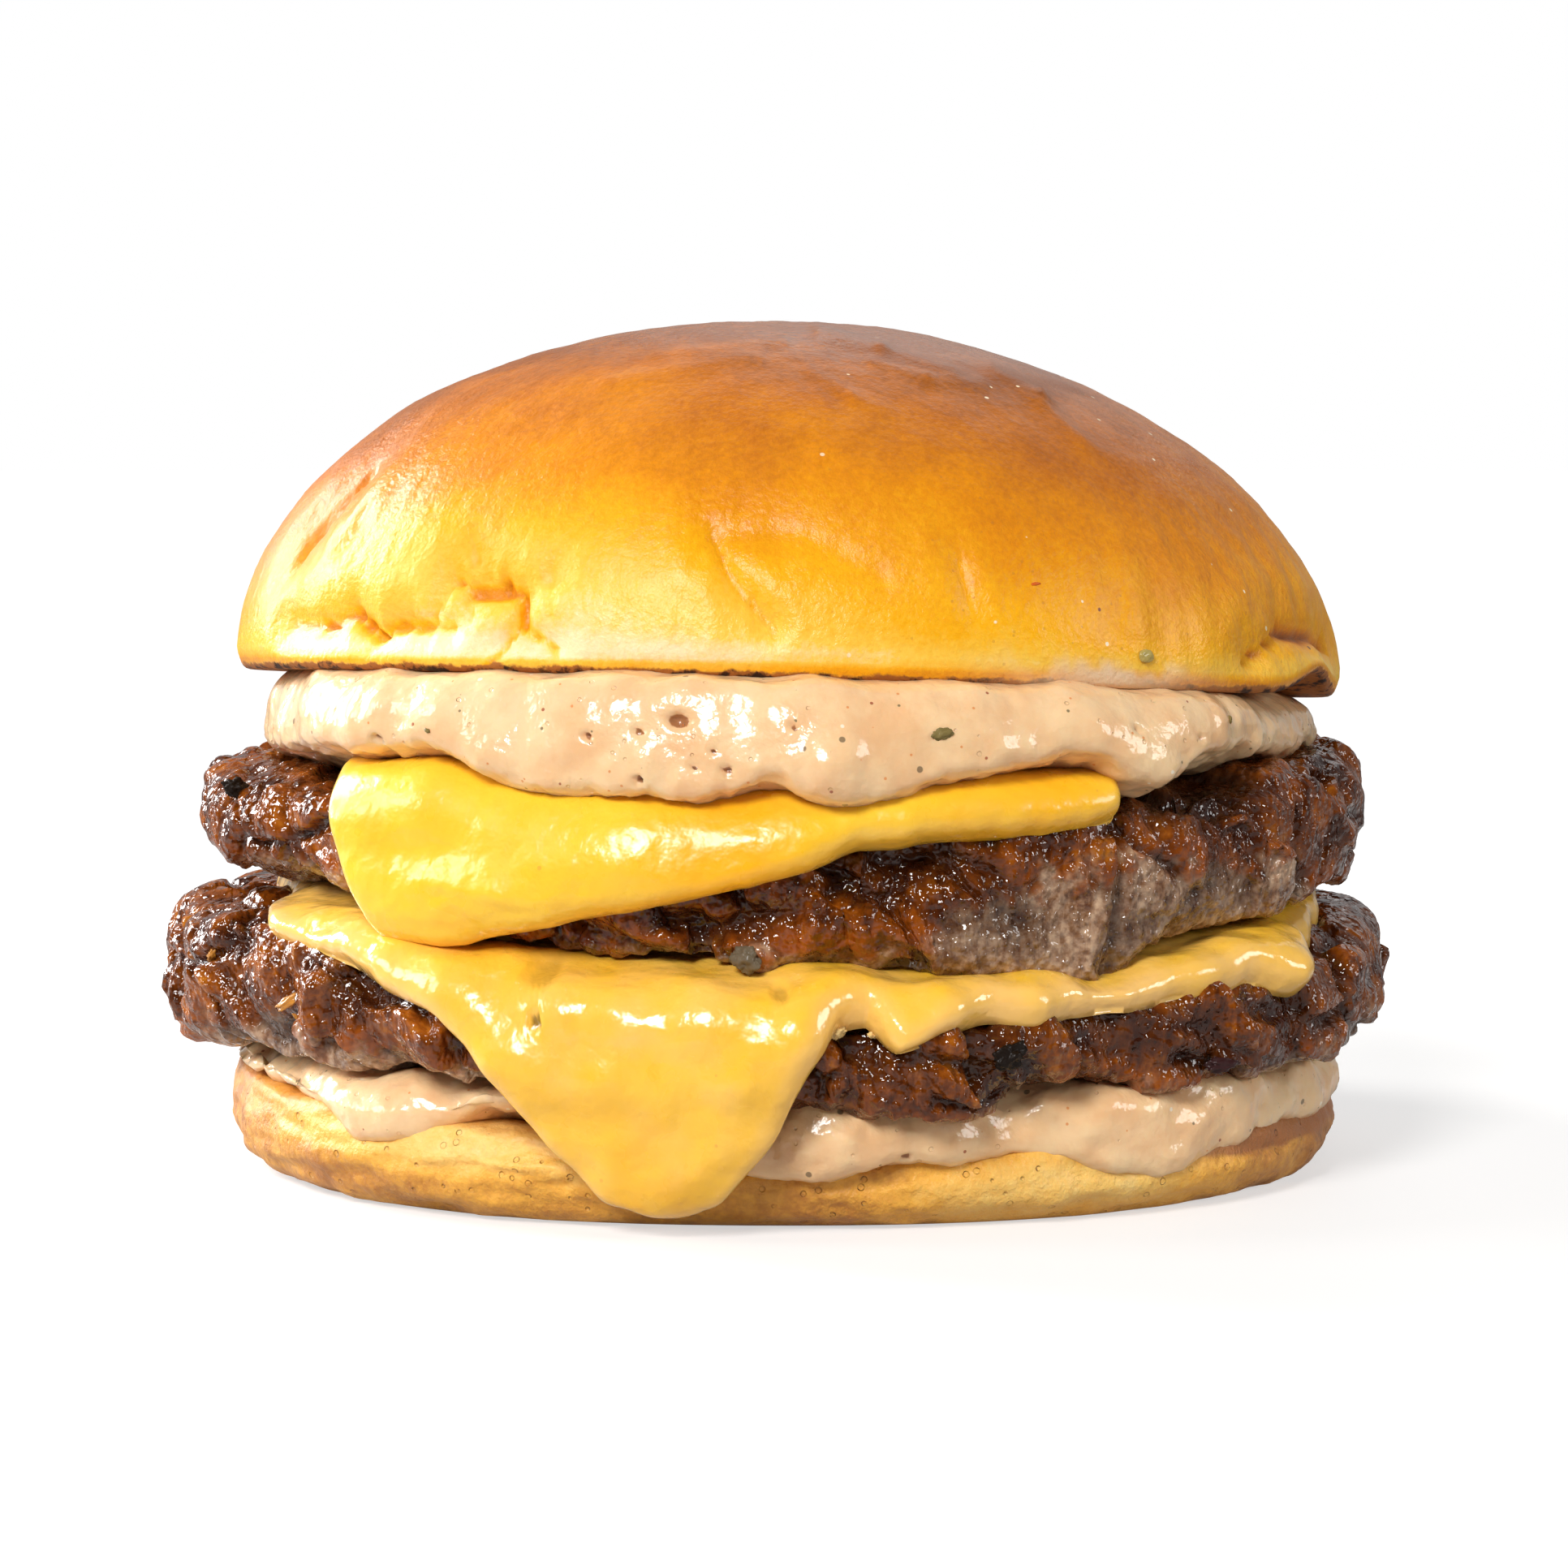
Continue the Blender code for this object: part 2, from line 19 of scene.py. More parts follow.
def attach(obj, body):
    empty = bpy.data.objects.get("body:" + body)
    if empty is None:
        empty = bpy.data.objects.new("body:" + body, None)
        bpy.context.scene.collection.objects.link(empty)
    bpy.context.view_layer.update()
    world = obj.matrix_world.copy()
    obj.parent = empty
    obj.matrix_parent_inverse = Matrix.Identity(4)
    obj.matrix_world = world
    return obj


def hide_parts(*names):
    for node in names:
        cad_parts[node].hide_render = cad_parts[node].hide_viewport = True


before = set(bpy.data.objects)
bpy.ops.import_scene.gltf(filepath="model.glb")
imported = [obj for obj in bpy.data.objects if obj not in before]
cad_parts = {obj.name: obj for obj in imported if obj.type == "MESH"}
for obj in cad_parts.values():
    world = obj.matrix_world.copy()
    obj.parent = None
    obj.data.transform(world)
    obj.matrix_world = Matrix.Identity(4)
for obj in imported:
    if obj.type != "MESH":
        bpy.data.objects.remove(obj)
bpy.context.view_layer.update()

bl_info = {
    "name": "Double cheeseburger",
    "version": (1, 0, 0),
    "blender": (4, 5, 0),
    "location": "3D View > Sidebar > Burger",
    "description": "Builds a double cheeseburger with melted cheese, sauce and a glazed bun",
    "category": "Add Mesh",
}

MM = 0.001
BODY = "root"

# Forms of the layers, as the frame has them: lengths in millimetres, slopes as rise over run
BUN_HALF_WIDTH = 54.2
BUN_HALF_DEPTH = 53.4
BURGER_HEIGHT = 81.0
CROWN_BASE = 45.6
CROWN_RISE = BURGER_HEIGHT - CROWN_BASE
CROWN_PITCH = 0.073
CROWN_ROLL = 0.026

FINE = 420  # points along a section before its rings are spaced out
RING = 57  # radius on which noise round a layer is read
SKIN_RING = 56  # radius of the crown's side, to measure along it
BIT_RING = 59  # radius from which a small bit looks for its carrier
SHOWN_TURN = 85  # turn to each side up to which the shown side gets more spokes
UP = np.array([0, 0, 1])


# Curves and noise


def around(table):
    """A smooth closed curve through (turn, value) pairs, with no overshoot between them."""
    turns = np.array([turn for turn, _ in table], float)
    values = np.array([value for _, value in table], float)
    turns = np.concatenate([turns[-2:] - 360, turns, turns[:2] + 360])
    values = np.concatenate([values[-2:], values, values[:2]])
    steps = np.diff(values) / np.diff(turns)
    before, after = steps[:-1], steps[1:]
    slopes = np.zeros_like(values)
    same_way = before * after > 0
    slopes[1:-1][same_way] = (2 * before * after)[same_way] / (before + after)[same_way]

    def at(turn):
        turn = (np.asarray(turn, float) - table[0][0]) % 360 + table[0][0]
        span = np.clip(np.searchsorted(turns, turn, side="right") - 1, 0, len(steps) - 1)
        width = turns[span + 1] - turns[span]
        t = (turn - turns[span]) / width
        rise = t * t * (3 - 2 * t)
        return (
            values[span] * (1 - rise)
            + values[span + 1] * rise
            + slopes[span] * width * t * (1 - t) ** 2
            - slopes[span + 1] * width * t * t * (1 - t)
        )

    return at


def step_between(value, low, high):
    """0 below low, 1 above high and smooth between."""
    t = np.clip((value - low) / (high - low), 0, 1)
    return t * t * (3 - 2 * t)


def bell(value, middle, half_width):
    return np.exp(-(((value - middle) / half_width) ** 2))


def turn_gap(turn, middle):
    return (turn - middle + 180) % 360 - 180


def about(turn, middle, half_width):
    """1 at one turn, fading away on both sides of it."""
    return bell(turn_gap(turn, middle), 0, half_width)


def patches(turn, height, spots):
    """Soft patches added up: each is (strength, turn, half width, height, half height)."""
    return sum(
        strength * about(turn, at, half_width) * bell(height, up, half_height)
        for strength, at, half_width, up, half_height in spots
    )


def clear_of_back(turn):
    """1 in front and at the sides, 0 at the back, where a pattern laid along the turn would not meet."""
    return 1 - step_between(np.abs(turn), 120, 170)


def squarish(turn, half_width, half_depth, power):
    """Radius of a rounded square, as buns get when they are baked side by side."""
    angle = np.radians(turn)
    across, along = np.abs(np.sin(angle)) / half_width, np.abs(np.cos(angle)) / half_depth
    return (across**power + along**power) ** (-1 / power)


def section_curves(controls):
    """Cubic B-splines with FINE places each, one for every turn, as an array [turn, place, 2]."""
    radii, heights = zip(*controls)
    points = np.stack(np.broadcast_arrays(*radii, *heights), axis=-1)
    points = points.reshape(len(points), 2, len(controls)).transpose(0, 2, 1)
    points = np.concatenate([points[:, :1]] * 2 + [points] + [points[:, -1:]] * 2, axis=1)
    spans = points.shape[1] - 3
    place = np.linspace(0, spans, FINE)
    span = np.minimum(place.astype(int), spans - 1)
    t = place - span
    weights = [(1 - t) ** 3, 3 * t**3 - 6 * t**2 + 4, -3 * t**3 + 3 * t**2 + 3 * t + 1, t**3]
    return sum(points[:, span + k] * (w / 6)[:, None] for k, w in enumerate(weights))


def places(*parts):
    """An array of places from their parts."""
    return np.stack(np.broadcast_arrays(*parts), axis=-1)


def lattice(spots, size, seed):
    """Places in cells of that size, their cells, a seeded draw, and the entry it gives to a cell."""
    draw = np.random.default_rng(seed)
    order = np.tile(draw.permutation(256), 2)
    scaled = spots / size + 100.0

    def entry(cell):
        x, y, z = np.moveaxis(cell & 255, -1, 0)
        return order[order[order[x] + y] + z]

    return scaled, np.floor(scaled).astype(int), draw, entry


def soft_noise(spots, size, seed):
    """Gradient noise from about -1 to 1, with lumps of that size, at an array of places."""
    scaled, cell, draw, entry = lattice(spots, size, seed)
    slopes = draw.normal(size=(256, 3))
    slopes /= np.linalg.norm(slopes, axis=1)[:, None]
    part = scaled - cell
    fade = part**3 * (part * (part * 6 - 15) + 10)
    total = np.zeros(spots.shape[:-1])
    for corner in np.ndindex(2, 2, 2):
        share = np.prod(np.where(np.array(corner) == 1, fade, 1 - fade), axis=-1)
        total += share * ((part - corner) * slopes[entry(cell + corner)]).sum(-1)
    return total * 1.7


def rough_noise(spots, size, seed, layers=3):
    """Soft noise with finer and finer noise added to it."""
    return sum(soft_noise(spots, size / 2.1**k, seed + 31 * k) / 1.9**k for k in range(layers))


def stirred(spots, size, seed):
    """A shift for each place, to bend a pattern that is read there."""
    return np.stack([soft_noise(spots, size, seed + k) for k in range(3)], axis=-1)


def pebbles(spots, size, seed):
    """Packed pebbles: how deep a place lies inside its pebble, from 0, and a draw from 0 to 1 for it."""
    scaled, cell, draw, entry = lattice(spots, size, seed)
    seats, lots = draw.random((256, 3)), draw.random(256)
    nearest = np.full(spots.shape[:-1], 9.0)
    second = nearest.copy()
    lot = np.zeros_like(nearest)
    for offset in np.ndindex(3, 3, 3):
        near = cell + np.array(offset) - 1
        key = entry(near)
        away = np.linalg.norm(near + seats[key] - scaled, axis=-1)
        closer = away < nearest
        second = np.where(closer, nearest, np.minimum(second, away))
        lot = np.where(closer, lots[key], lot)
        nearest = np.where(closer, away, nearest)
    return second - nearest, lot


def plates(spots, size, seed):
    """Broken plates: a height from about -1 to 1 that slopes its own way on each packed plate."""
    scaled, cell, draw, entry = lattice(spots, size, seed)
    seats, ways = draw.random((256, 3)), draw.normal(size=(256, 3))
    total = np.full(spots.shape[:-1], 1e-9)
    height = np.zeros_like(total)
    for offset in np.ndindex(3, 3, 3):
        near = cell + np.array(offset) - 1
        key = entry(near)
        way = scaled - near - seats[key]
        share = np.exp(-30 * (way**2).sum(-1))
        height += share * (way * ways[key]).sum(-1)
        total += share
    return height / total


# Surfaces as grids: [spoke, ring, xyz] from the top of the axis to the bottom


def shown(turn):
    """1 on the shown side and 0 behind it."""
    return np.exp(-((turn / SHOWN_TURN) ** 4))


def run_along(lengths):
    """How far each place of some curves is along them, from the lengths between the places."""
    return np.concatenate([np.zeros((len(lengths), 1)), np.cumsum(lengths, axis=1)], axis=1)


def spread_turns(spokes, crowding=1.0):
    """Turns all the way round, closer together on the shown side."""
    fine = np.linspace(-180, 180, 2881)
    dense = 1 + crowding * shown(fine)
    run = np.concatenate([[0], np.cumsum((dense[1:] + dense[:-1]) / 2)])
    return np.interp(np.arange(spokes) / spokes, run / run[-1], fine)


def space_rings(curves, rings, busy_radius, dome=False):
    """Spaces the rings evenly along each section, and wide apart where it lies hidden inside.

    A dome is open to view all over, and gets more rings round its rim.
    """
    middle = (curves[:, 1:] + curves[:, :-1]) / 2
    weight = 0.06 + 0.94 * step_between(middle[..., 0], busy_radius - 6, busy_radius)
    if dome:
        weight = np.where(middle[..., 1] > 0.01, 1, weight) + 2 * bell(middle[..., 1], 0.4, 1.3)
    run = run_along(np.linalg.norm(np.diff(curves, axis=1), axis=2) * weight)
    run /= run[:, -1:]
    wanted = np.linspace(0, 1, rings + 1)
    spaced = [
        [np.interp(wanted, run[k], curves[k, :, axis]) for axis in (0, 1)] for k in range(len(curves))
    ]
    return np.array(spaced).transpose(0, 2, 1)


def stand(turns, curves):
    """Stands the sections round the axis."""
    angle = np.radians(turns)[:, None]
    radius, height = curves[..., 0], curves[..., 1]
    return places(radius * np.sin(angle), -radius * np.cos(angle), height)


def layer_grid(section, spokes, rings, busy_radius):
    """A layer as a grid, from its section."""
    turns = spread_turns(spokes)
    return stand(turns, space_rings(section_curves(section(turns)), rings, busy_radius))


def outward(grid):
    """Unit normals of a grid."""
    across = np.roll(grid, -1, axis=0) - np.roll(grid, 1, axis=0)
    down = np.gradient(grid, axis=1)
    normals = np.cross(down, across)
    normals[:, 0], normals[:, -1] = (0, 0, 1), (0, 0, -1)
    return normals / np.maximum(np.linalg.norm(normals, axis=-1), 1e-9)[..., None]


def push(grid, amount):
    """Moves a grid's points along its normals."""
    moved = grid + outward(grid) * amount[..., None]
    moved[:, 0], moved[:, -1] = moved[:1, 0], moved[:1, -1]
    return moved


def raise_up(grid, amount):
    """Moves a grid's points upwards."""
    return grid + amount[..., None] * UP


def turn_of(grid):
    return np.degrees(np.arctan2(grid[..., 0], -grid[..., 1]))


def radius_of(grid):
    return np.hypot(grid[..., 0], grid[..., 1])


def link_mesh(mesh, finish):
    """Makes an object of a mesh, under its name."""
    mesh.materials.append(finish)
    piece = bpy.data.objects.new(mesh.name, mesh)
    bpy.context.scene.collection.objects.link(piece)
    return piece


def make_piece(name, grid, finish, slot, node, **fields):
    """Lays a sheet of squares round the grid, closes it, and keeps each field for the material."""
    grid = np.concatenate([grid, grid[:1]])
    across, down = grid.shape[0] - 1, grid.shape[1] - 1
    sheet = bmesh.new()
    bmesh.ops.create_grid(sheet, x_segments=down, y_segments=across, size=1)
    mesh = bpy.data.meshes.new(name)
    sheet.to_mesh(mesh)
    mesh.vertices.foreach_set("co", (grid * MM).astype(np.float32).ravel())
    for field, values in fields.items():
        values = np.broadcast_to(values, (across, down + 1))
        values = np.concatenate([values, values[:1]]).astype(np.float32)
        mesh.attributes.new(field, "FLOAT", "POINT").data.foreach_set("value", values.ravel())
    sheet.clear()
    sheet.from_mesh(mesh)
    number = np.arange(grid.shape[0] * grid.shape[1]).reshape(grid.shape[:2])
    border = np.unique(np.concatenate([number[0], number[-1], number[:, 0], number[:, -1]]))
    sheet.verts.ensure_lookup_table()
    bmesh.ops.remove_doubles(sheet, verts=[sheet.verts[k] for k in border], dist=1e-7)
    bmesh.ops.recalc_face_normals(sheet, faces=sheet.faces)
    sheet.to_mesh(mesh)
    sheet.free()
    mesh.shade_smooth()
    piece = link_mesh(mesh, finish)
    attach(piece, BODY)
    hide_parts(node)


# Materials


class Finish:
    """One material: a Principled surface, with short calls for the patterns that drive it."""

    def __init__(self, name, **surface):
        self.material = bpy.data.materials.new(name)
        self.material.use_nodes = True
        self.tree = self.material.node_tree
        self.surface = self.tree.nodes["Principled BSDF"]
        for socket, value in surface.items():
            self.surface.inputs[socket.replace("_", " ")].default_value = value
        self.place = self.add("ShaderNodeTexCoord").outputs["Object"]

    def add(self, kind, settings=None, **inputs):
        made = self.tree.nodes.new(kind)
        for setting, value in (settings or {}).items():
            setattr(made, setting, value)
        for name, value in inputs.items():
            key = int(name[1:]) if name[1:].isdigit() else name.replace("_", " ")
            self.put(made.inputs[key], value)
        return made

    def put(self, socket, value):
        if isinstance(value, bpy.types.NodeSocket):
            self.tree.links.new(value, socket)
        elif isinstance(value, tuple) and socket.type == "RGBA":
            socket.default_value = (*value, 1)
        else:
            socket.default_value = value

    def feed(self, name, value):
        self.put(self.surface.inputs[name], value)

    def field(self, name):
        return self.add("ShaderNodeAttribute", {"attribute_name": name}).outputs["Fac"]

    def stretched(self, scale):
        return self.add("ShaderNodeMapping", Vector=self.place, Scale=scale).outputs[0]

    def grain(self, size, detail=3.0, roughness=0.55, place=None, distortion=0.0):
        """Noise from 0 to 1 with that size in millimetres."""
        made = self.add("ShaderNodeTexNoise", Vector=place or self.place, Scale=1 / (size * MM),
                        Detail=detail, Roughness=roughness, Distortion=distortion)
        return made.outputs["Fac"]

    def beads(self, size):
        """Rounded cells of that size, by their distance from their middles."""
        made = self.add("ShaderNodeTexVoronoi", {"feature": "SMOOTH_F1"}, Vector=self.place,
                        Scale=1 / (size * MM))
        return made.outputs["Distance"]

    def sum(self, kind, first, second, clamp=False):
        made = self.add("ShaderNodeMath", {"operation": kind, "use_clamp": clamp}, _0=first, _1=second)
        return made.outputs[0]

    def plus(self, first, second, clamp=False):
        return self.sum("ADD", first, second, clamp)

    def times(self, first, second):
        return self.sum("MULTIPLY", first, second)

    def span(self, value, low, high, to_low=0.0, to_high=1.0):
        """Goes from one value to another while the first one goes from low to high."""
        made = self.add("ShaderNodeMapRange", {"interpolation_type": "SMOOTHSTEP"},
                        _0=value, _1=low, _2=high, _3=to_low, _4=to_high)
        return made.outputs[0]

    def cloud(self, size, detail, roughness, low, high, to_low=0.0, to_high=1.0):
        """Grain whose middle range goes from one value to another."""
        return self.span(self.grain(size, detail, roughness), low, high, to_low, to_high)

    def mix(self, share, first, second):
        made = self.add("ShaderNodeMix", {"data_type": "RGBA"}, _0=share, _6=first, _7=second)
        return made.outputs[2]

    def ramp(self, value, stops):
        made = self.add("ShaderNodeValToRGB", _0=value)
        line = made.color_ramp
        while len(line.elements) < len(stops):
            line.elements.new(0.5)
        for element, (position, colour) in zip(line.elements, stops):
            element.position, element.color = position, (*colour, 1)
        return made.outputs[0]

    def specks(self, size, rarity, spread=0.22, seed=0.0):
        """Sparse round specks, 1 inside them: one in so many cells of that size holds one."""
        place = self.add("ShaderNodeMapping", Vector=self.place, Location=(seed, 2 * seed, -seed)).outputs[0]
        cell = self.add("ShaderNodeTexVoronoi", Vector=place, Scale=1 / (size * MM))
        lot = self.add("ShaderNodeSeparateColor", _0=cell.outputs["Color"]).outputs[0]
        chosen = self.sum("LESS_THAN", lot, 1 / rarity)
        return self.times(self.span(cell.outputs["Distance"], spread, spread * 0.7), chosen)

    def relief(self, height, depth, over=None):
        """A bump of that depth in millimetres, on top of another one."""
        made = self.add("ShaderNodeBump", Strength=1.0, Distance=depth * MM, Height=height)
        if over:
            self.put(made.inputs["Normal"], over)
        return made.outputs[0]


def glazed_crust(bun):
    """Brioche glaze: pale where it touched its neighbours, golden up the side, brown on top."""
    crust = Finish("glazed_crust", Roughness=0.34, Coat_Weight=0.08, Coat_Roughness=0.3,
                   Specular_IOR_Level=0.24, Subsurface_Weight=0.12, Subsurface_Radius=(1.0, 0.5, 0.2),
                   Subsurface_Scale=0.002)
    bake = crust.field("bake")
    cloud = crust.grain(7.0, 4, 0.6)
    fine = crust.grain(0.7, 4, 0.7)
    bake = crust.plus(bake, crust.span(cloud, 0.25, 0.75, -0.055, 0.055))
    # Painted shade: the bake is raised along the creases, so they show deeper orange.
    bake = crust.plus(bake, crust.span(crust.field("fold"), 0.5, 1.15, 0.0, 0.42))
    bake = crust.plus(bake, crust.span(fine, 0.3, 0.7, -0.045, 0.045), clamp=True)
    colour = crust.ramp(bake, [
        (0.0, tuple(bun.pale_colour)), (0.22, (0.96, 0.58, 0.07)), (0.45, tuple(bun.golden_colour)),
        (0.68, (0.74, 0.25, 0.002)), (0.86, tuple(bun.brown_colour)), (1.0, (0.28, 0.075, 0.006)),
    ])
    pores = crust.specks(0.9, 6, 0.2, 0.013)
    pores = crust.times(pores, crust.times(crust.field("flecked"), 0.35))
    colour = crust.mix(pores, colour, (0.42, 0.17, 0.03))
    toast = crust.plus(crust.field("toast"), crust.cloud(0.9, 3, 0.6, 0.3, 0.7, -0.06, 0.06))
    char = crust.plus(toast, crust.cloud(2.2, 4, 0.65, 0.35, 0.65, -0.3, 0.3))
    toasted = crust.mix(crust.span(char, 0.6, 0.95), tuple(bun.toast_colour), (0.030, 0.009, 0.004))
    toast = crust.span(toast, 0.42, 0.56)
    colour = crust.mix(toast, colour, toasted)
    flecks = crust.times(crust.specks(2.6, 4, 0.1, 0.4), crust.field("flecked"))
    colour = crust.mix(flecks, colour, (0.95, 0.80, 0.55))
    dark_flecks = crust.times(crust.specks(3.6, 7, 0.08, 0.71), crust.field("flecked"))
    colour = crust.mix(dark_flecks, colour, (0.25, 0.07, 0.02))
    colour = crust.mix(crust.field("smear"), colour, (0.85, 0.62, 0.40))
    crust.feed("Base Color", colour)
    dull = crust.cloud(14.0, 3, 0.55, 0.3, 0.75, 0.36, 0.5)
    dull = crust.sum("SUBTRACT", dull, crust.times(crust.field("gloss"), 0.2))
    crust.feed("Roughness", crust.sum("MAXIMUM", crust.times(toast, 0.75), dull))
    peel = crust.relief(crust.grain(0.6, 3, 0.6), 0.13)
    crust.feed("Normal", crust.relief(crust.grain(3.5, 4, 0.6), 0.22, peel))
    return crust.material


def heel_side(bun):
    """The lower bun's side: golden skin, torn pale bands and a toasted rim."""
    side = Finish("heel_side", Roughness=0.5, Coat_Weight=0.12, Coat_Roughness=0.3,
                  Subsurface_Weight=0.15, Subsurface_Radius=(1.0, 0.55, 0.25), Subsurface_Scale=0.002)
    bake = side.plus(side.field("bake"), side.cloud(5.0, 4, 0.6, 0.25, 0.75, -0.08, 0.08))
    bake = side.plus(bake, side.cloud(0.9, 3, 0.55, 0.3, 0.7, -0.05, 0.05), clamp=True)
    colour = side.ramp(bake, [
        (0.0, (0.93, 0.72, 0.32)), (0.3, (0.92, 0.56, 0.14)), (0.55, (0.86, 0.42, 0.05)),
        (0.8, (0.50, 0.19, 0.025)), (1.0, (0.22, 0.07, 0.012)),
    ])
    colour = side.mix(side.field("toast"), colour, tuple(bun.toast_colour))
    side.feed("Base Color", colour)
    crumb = side.relief(side.grain(0.7, 3, 0.6), 0.2)
    holes = side.relief(side.specks(1.3, 3, 0.28, 0.3), -0.3, crumb)
    side.feed("Normal", side.relief(side.grain(2.6, 4, 0.6), 0.5, holes))
    return side.material


def seared_beef(patty):
    """Minced beef: a wet, dark, red-brown crust over grey-brown meat."""
    beef = Finish("seared_beef", Roughness=0.6, Coat_Weight=1.0, Coat_Roughness=0.06, Coat_IOR=1.5,
                  Specular_IOR_Level=0.0)
    mottle = beef.grain(4.5, 5, 0.62)
    fibre = beef.grain(1.15, 3, 0.6, beef.stretched((1.0, 1.0, 0.38)), 0.7)
    tone = beef.plus(beef.span(mottle, 0.3, 0.72, 0.0, 0.56), beef.span(fibre, 0.3, 0.7, 0.0, 0.36))
    tone = beef.plus(tone, beef.times(beef.field("lot"), 0.16), clamp=True)
    crust = beef.ramp(tone, [
        (0.0, (0.02, 0.003, 0.001)), (0.3, tuple(patty.dark_colour)), (0.58, tuple(patty.red_colour)),
        (0.8, (0.30, 0.075, 0.004)), (1.0, (0.46, 0.15, 0.012)),
    ])
    grey = beef.ramp(beef.plus(tone, beef.cloud(0.9, 3, 0.6, 0.35, 0.65, -0.22, 0.22), clamp=True), [
        (0.0, (0.10, 0.035, 0.015)), (0.3, (0.24, 0.12, 0.06)), (0.6, tuple(patty.grey_colour)),
        (1.0, (0.62, 0.42, 0.27)),
    ])
    colour = beef.mix(beef.field("seared"), grey, crust)
    glow = beef.times(beef.field("brink"), beef.cloud(3.0, 3, 0.55, 0.4, 0.65, 0.0, 0.75))
    colour = beef.mix(glow, colour, (0.34, 0.075, 0.006))
    # Painted shade: the hollows of the relief are darkened to near black.
    painted_hollow_shade = beef.span(beef.field("relief"), -1.3, 0.35, 0.8, 0.0)
    colour = beef.mix(painted_hollow_shade, colour, (0.02, 0.004, 0.002))
    # Orange on the raised relief: partly fat, partly a painted highlight on the ridges.
    fat_and_ridge_highlight = beef.times(beef.cloud(1.7, 2, 0.5, 0.66, 0.74), beef.span(beef.field("relief"), 0.1, 0.8))
    colour = beef.mix(beef.times(fat_and_ridge_highlight, 0.5), colour, (0.50, 0.14, 0.02))
    beef.feed("Base Color", colour)
    beef.feed("Roughness", beef.cloud(2.4, 4, 0.6, 0.35, 0.65, 0.26, 0.5))
    sparkle = beef.relief(beef.grain(0.38, 1, 0.5), 0.06)
    fibres = beef.relief(beef.grain(1.0, 1, 0.5, beef.stretched((1.0, 1.0, 0.38)), 0.7), 0.22, sparkle)
    grains = beef.relief(beef.beads(0.7), -0.42, fibres)
    crumbled = beef.relief(beef.grain(1.6, 1, 0.5), 0.3, grains)
    beef.feed("Normal", crumbled)
    beef.feed("Coat Normal", crumbled)
    return beef.material


def melted_cheese(name, colour, thin_colour, greasy):
    """Processed cheese, melted: smooth, soft inside, with a wet skin, and greasy from 0 to 1."""
    cheese = Finish(name, Roughness=0.3, Coat_Weight=0.4, Coat_Roughness=0.22 - 0.05 * greasy,
                    Subsurface_Weight=0.15, Subsurface_Radius=(0.8, 0.6, 0.3), Subsurface_Scale=0.002)
    cloud = cheese.cloud(9.0, 3, 0.55, 0.3, 0.7)
    tone = cheese.mix(cloud, tuple(colour), tuple(0.93 * part for part in colour))
    tone = cheese.mix(cheese.field("thin"), tone, tuple(thin_colour))
    # Deeper orange: partly thick cheese, partly painted shade.
    tone = cheese.mix(cheese.field("deep"), tone, (0.98, 0.46, 0.004))
    # Painted shade: open bubbles and dimples are darkened to olive-brown inside.
    tone = cheese.mix(cheese.span(cheese.field("pit"), 0.2, 0.7, 0.0, 0.9), tone, (0.30, 0.17, 0.02))
    dots = cheese.times(cheese.specks(2.6, 9, 0.1, 0.5), 0.5)
    tone = cheese.mix(dots, tone, (0.72, 0.30, 0.04))
    cheese.feed("Base Color", tone)
    dry = cheese.span(cheese.grain(4.0, 3), 0.3, 0.7, 0.24 - 0.04 * greasy, 0.42 - 0.04 * greasy)
    wet = cheese.times(cheese.field("thin"), -0.2)
    cheese.feed("Roughness", cheese.sum("MAXIMUM", cheese.plus(dry, wet), 0.09))
    skin = cheese.relief(cheese.grain(1.3, 2, 0.5), 0.12)
    wavy = cheese.relief(cheese.grain(5.0, 2), 0.5, skin)
    cheese.feed("Normal", wavy)
    cheese.feed("Coat Normal", wavy)
    return cheese.material


def burger_sauce(settings):
    """Pinkish beige sauce, with bubbles and specks of paprika, pepper and herb."""
    sauce = Finish("burger_sauce", Roughness=0.3, Coat_Weight=0.6, Coat_Roughness=0.07,
                   Specular_IOR_Level=0.25, Subsurface_Weight=0.25, Subsurface_Radius=(1.0, 0.6, 0.35),
                   Subsurface_Scale=0.0025)
    tone = sauce.mix(sauce.cloud(5.0, 4, 0.55, 0.3, 0.7), tuple(settings.colour), tuple(settings.warm_colour))
    # Painted shade: the open bubbles are darkened inside.
    tone = sauce.mix(sauce.span(sauce.field("pit"), 0.4, 0.62, 0.0, 0.85), tone, (0.36, 0.12, 0.035))
    for size, rarity, spread, seed, colour, share in (
        (1.1, 6, 0.15, 0.11, (0.75, 0.25, 0.06), 0.8), (1.7, 6, 0.11, 0.37, (0.35, 0.06, 0.02), 0.85),
        (1.5, 7, 0.12, 0.59, (0.14, 0.11, 0.05), 0.8), (2.3, 8, 0.12, 0.83, (0.95, 0.88, 0.72), 0.7),
        (3.4, 3, 0.1, 0.23, (0.12, 0.08, 0.04), 0.75),
    ):
        tone = sauce.mix(sauce.times(sauce.specks(size, rarity, spread, seed), share), tone, colour)
    sauce.feed("Base Color", tone)
    skin = sauce.relief(sauce.grain(1.3, 3, 0.6), 0.1, sauce.relief(sauce.specks(1.0, 9, 0.25, 0.67), -0.12))
    wavy = sauce.relief(sauce.grain(4.0, 3), 0.35, skin)
    sauce.feed("Normal", wavy)
    sauce.feed("Coat Normal", wavy)
    return sauce.material


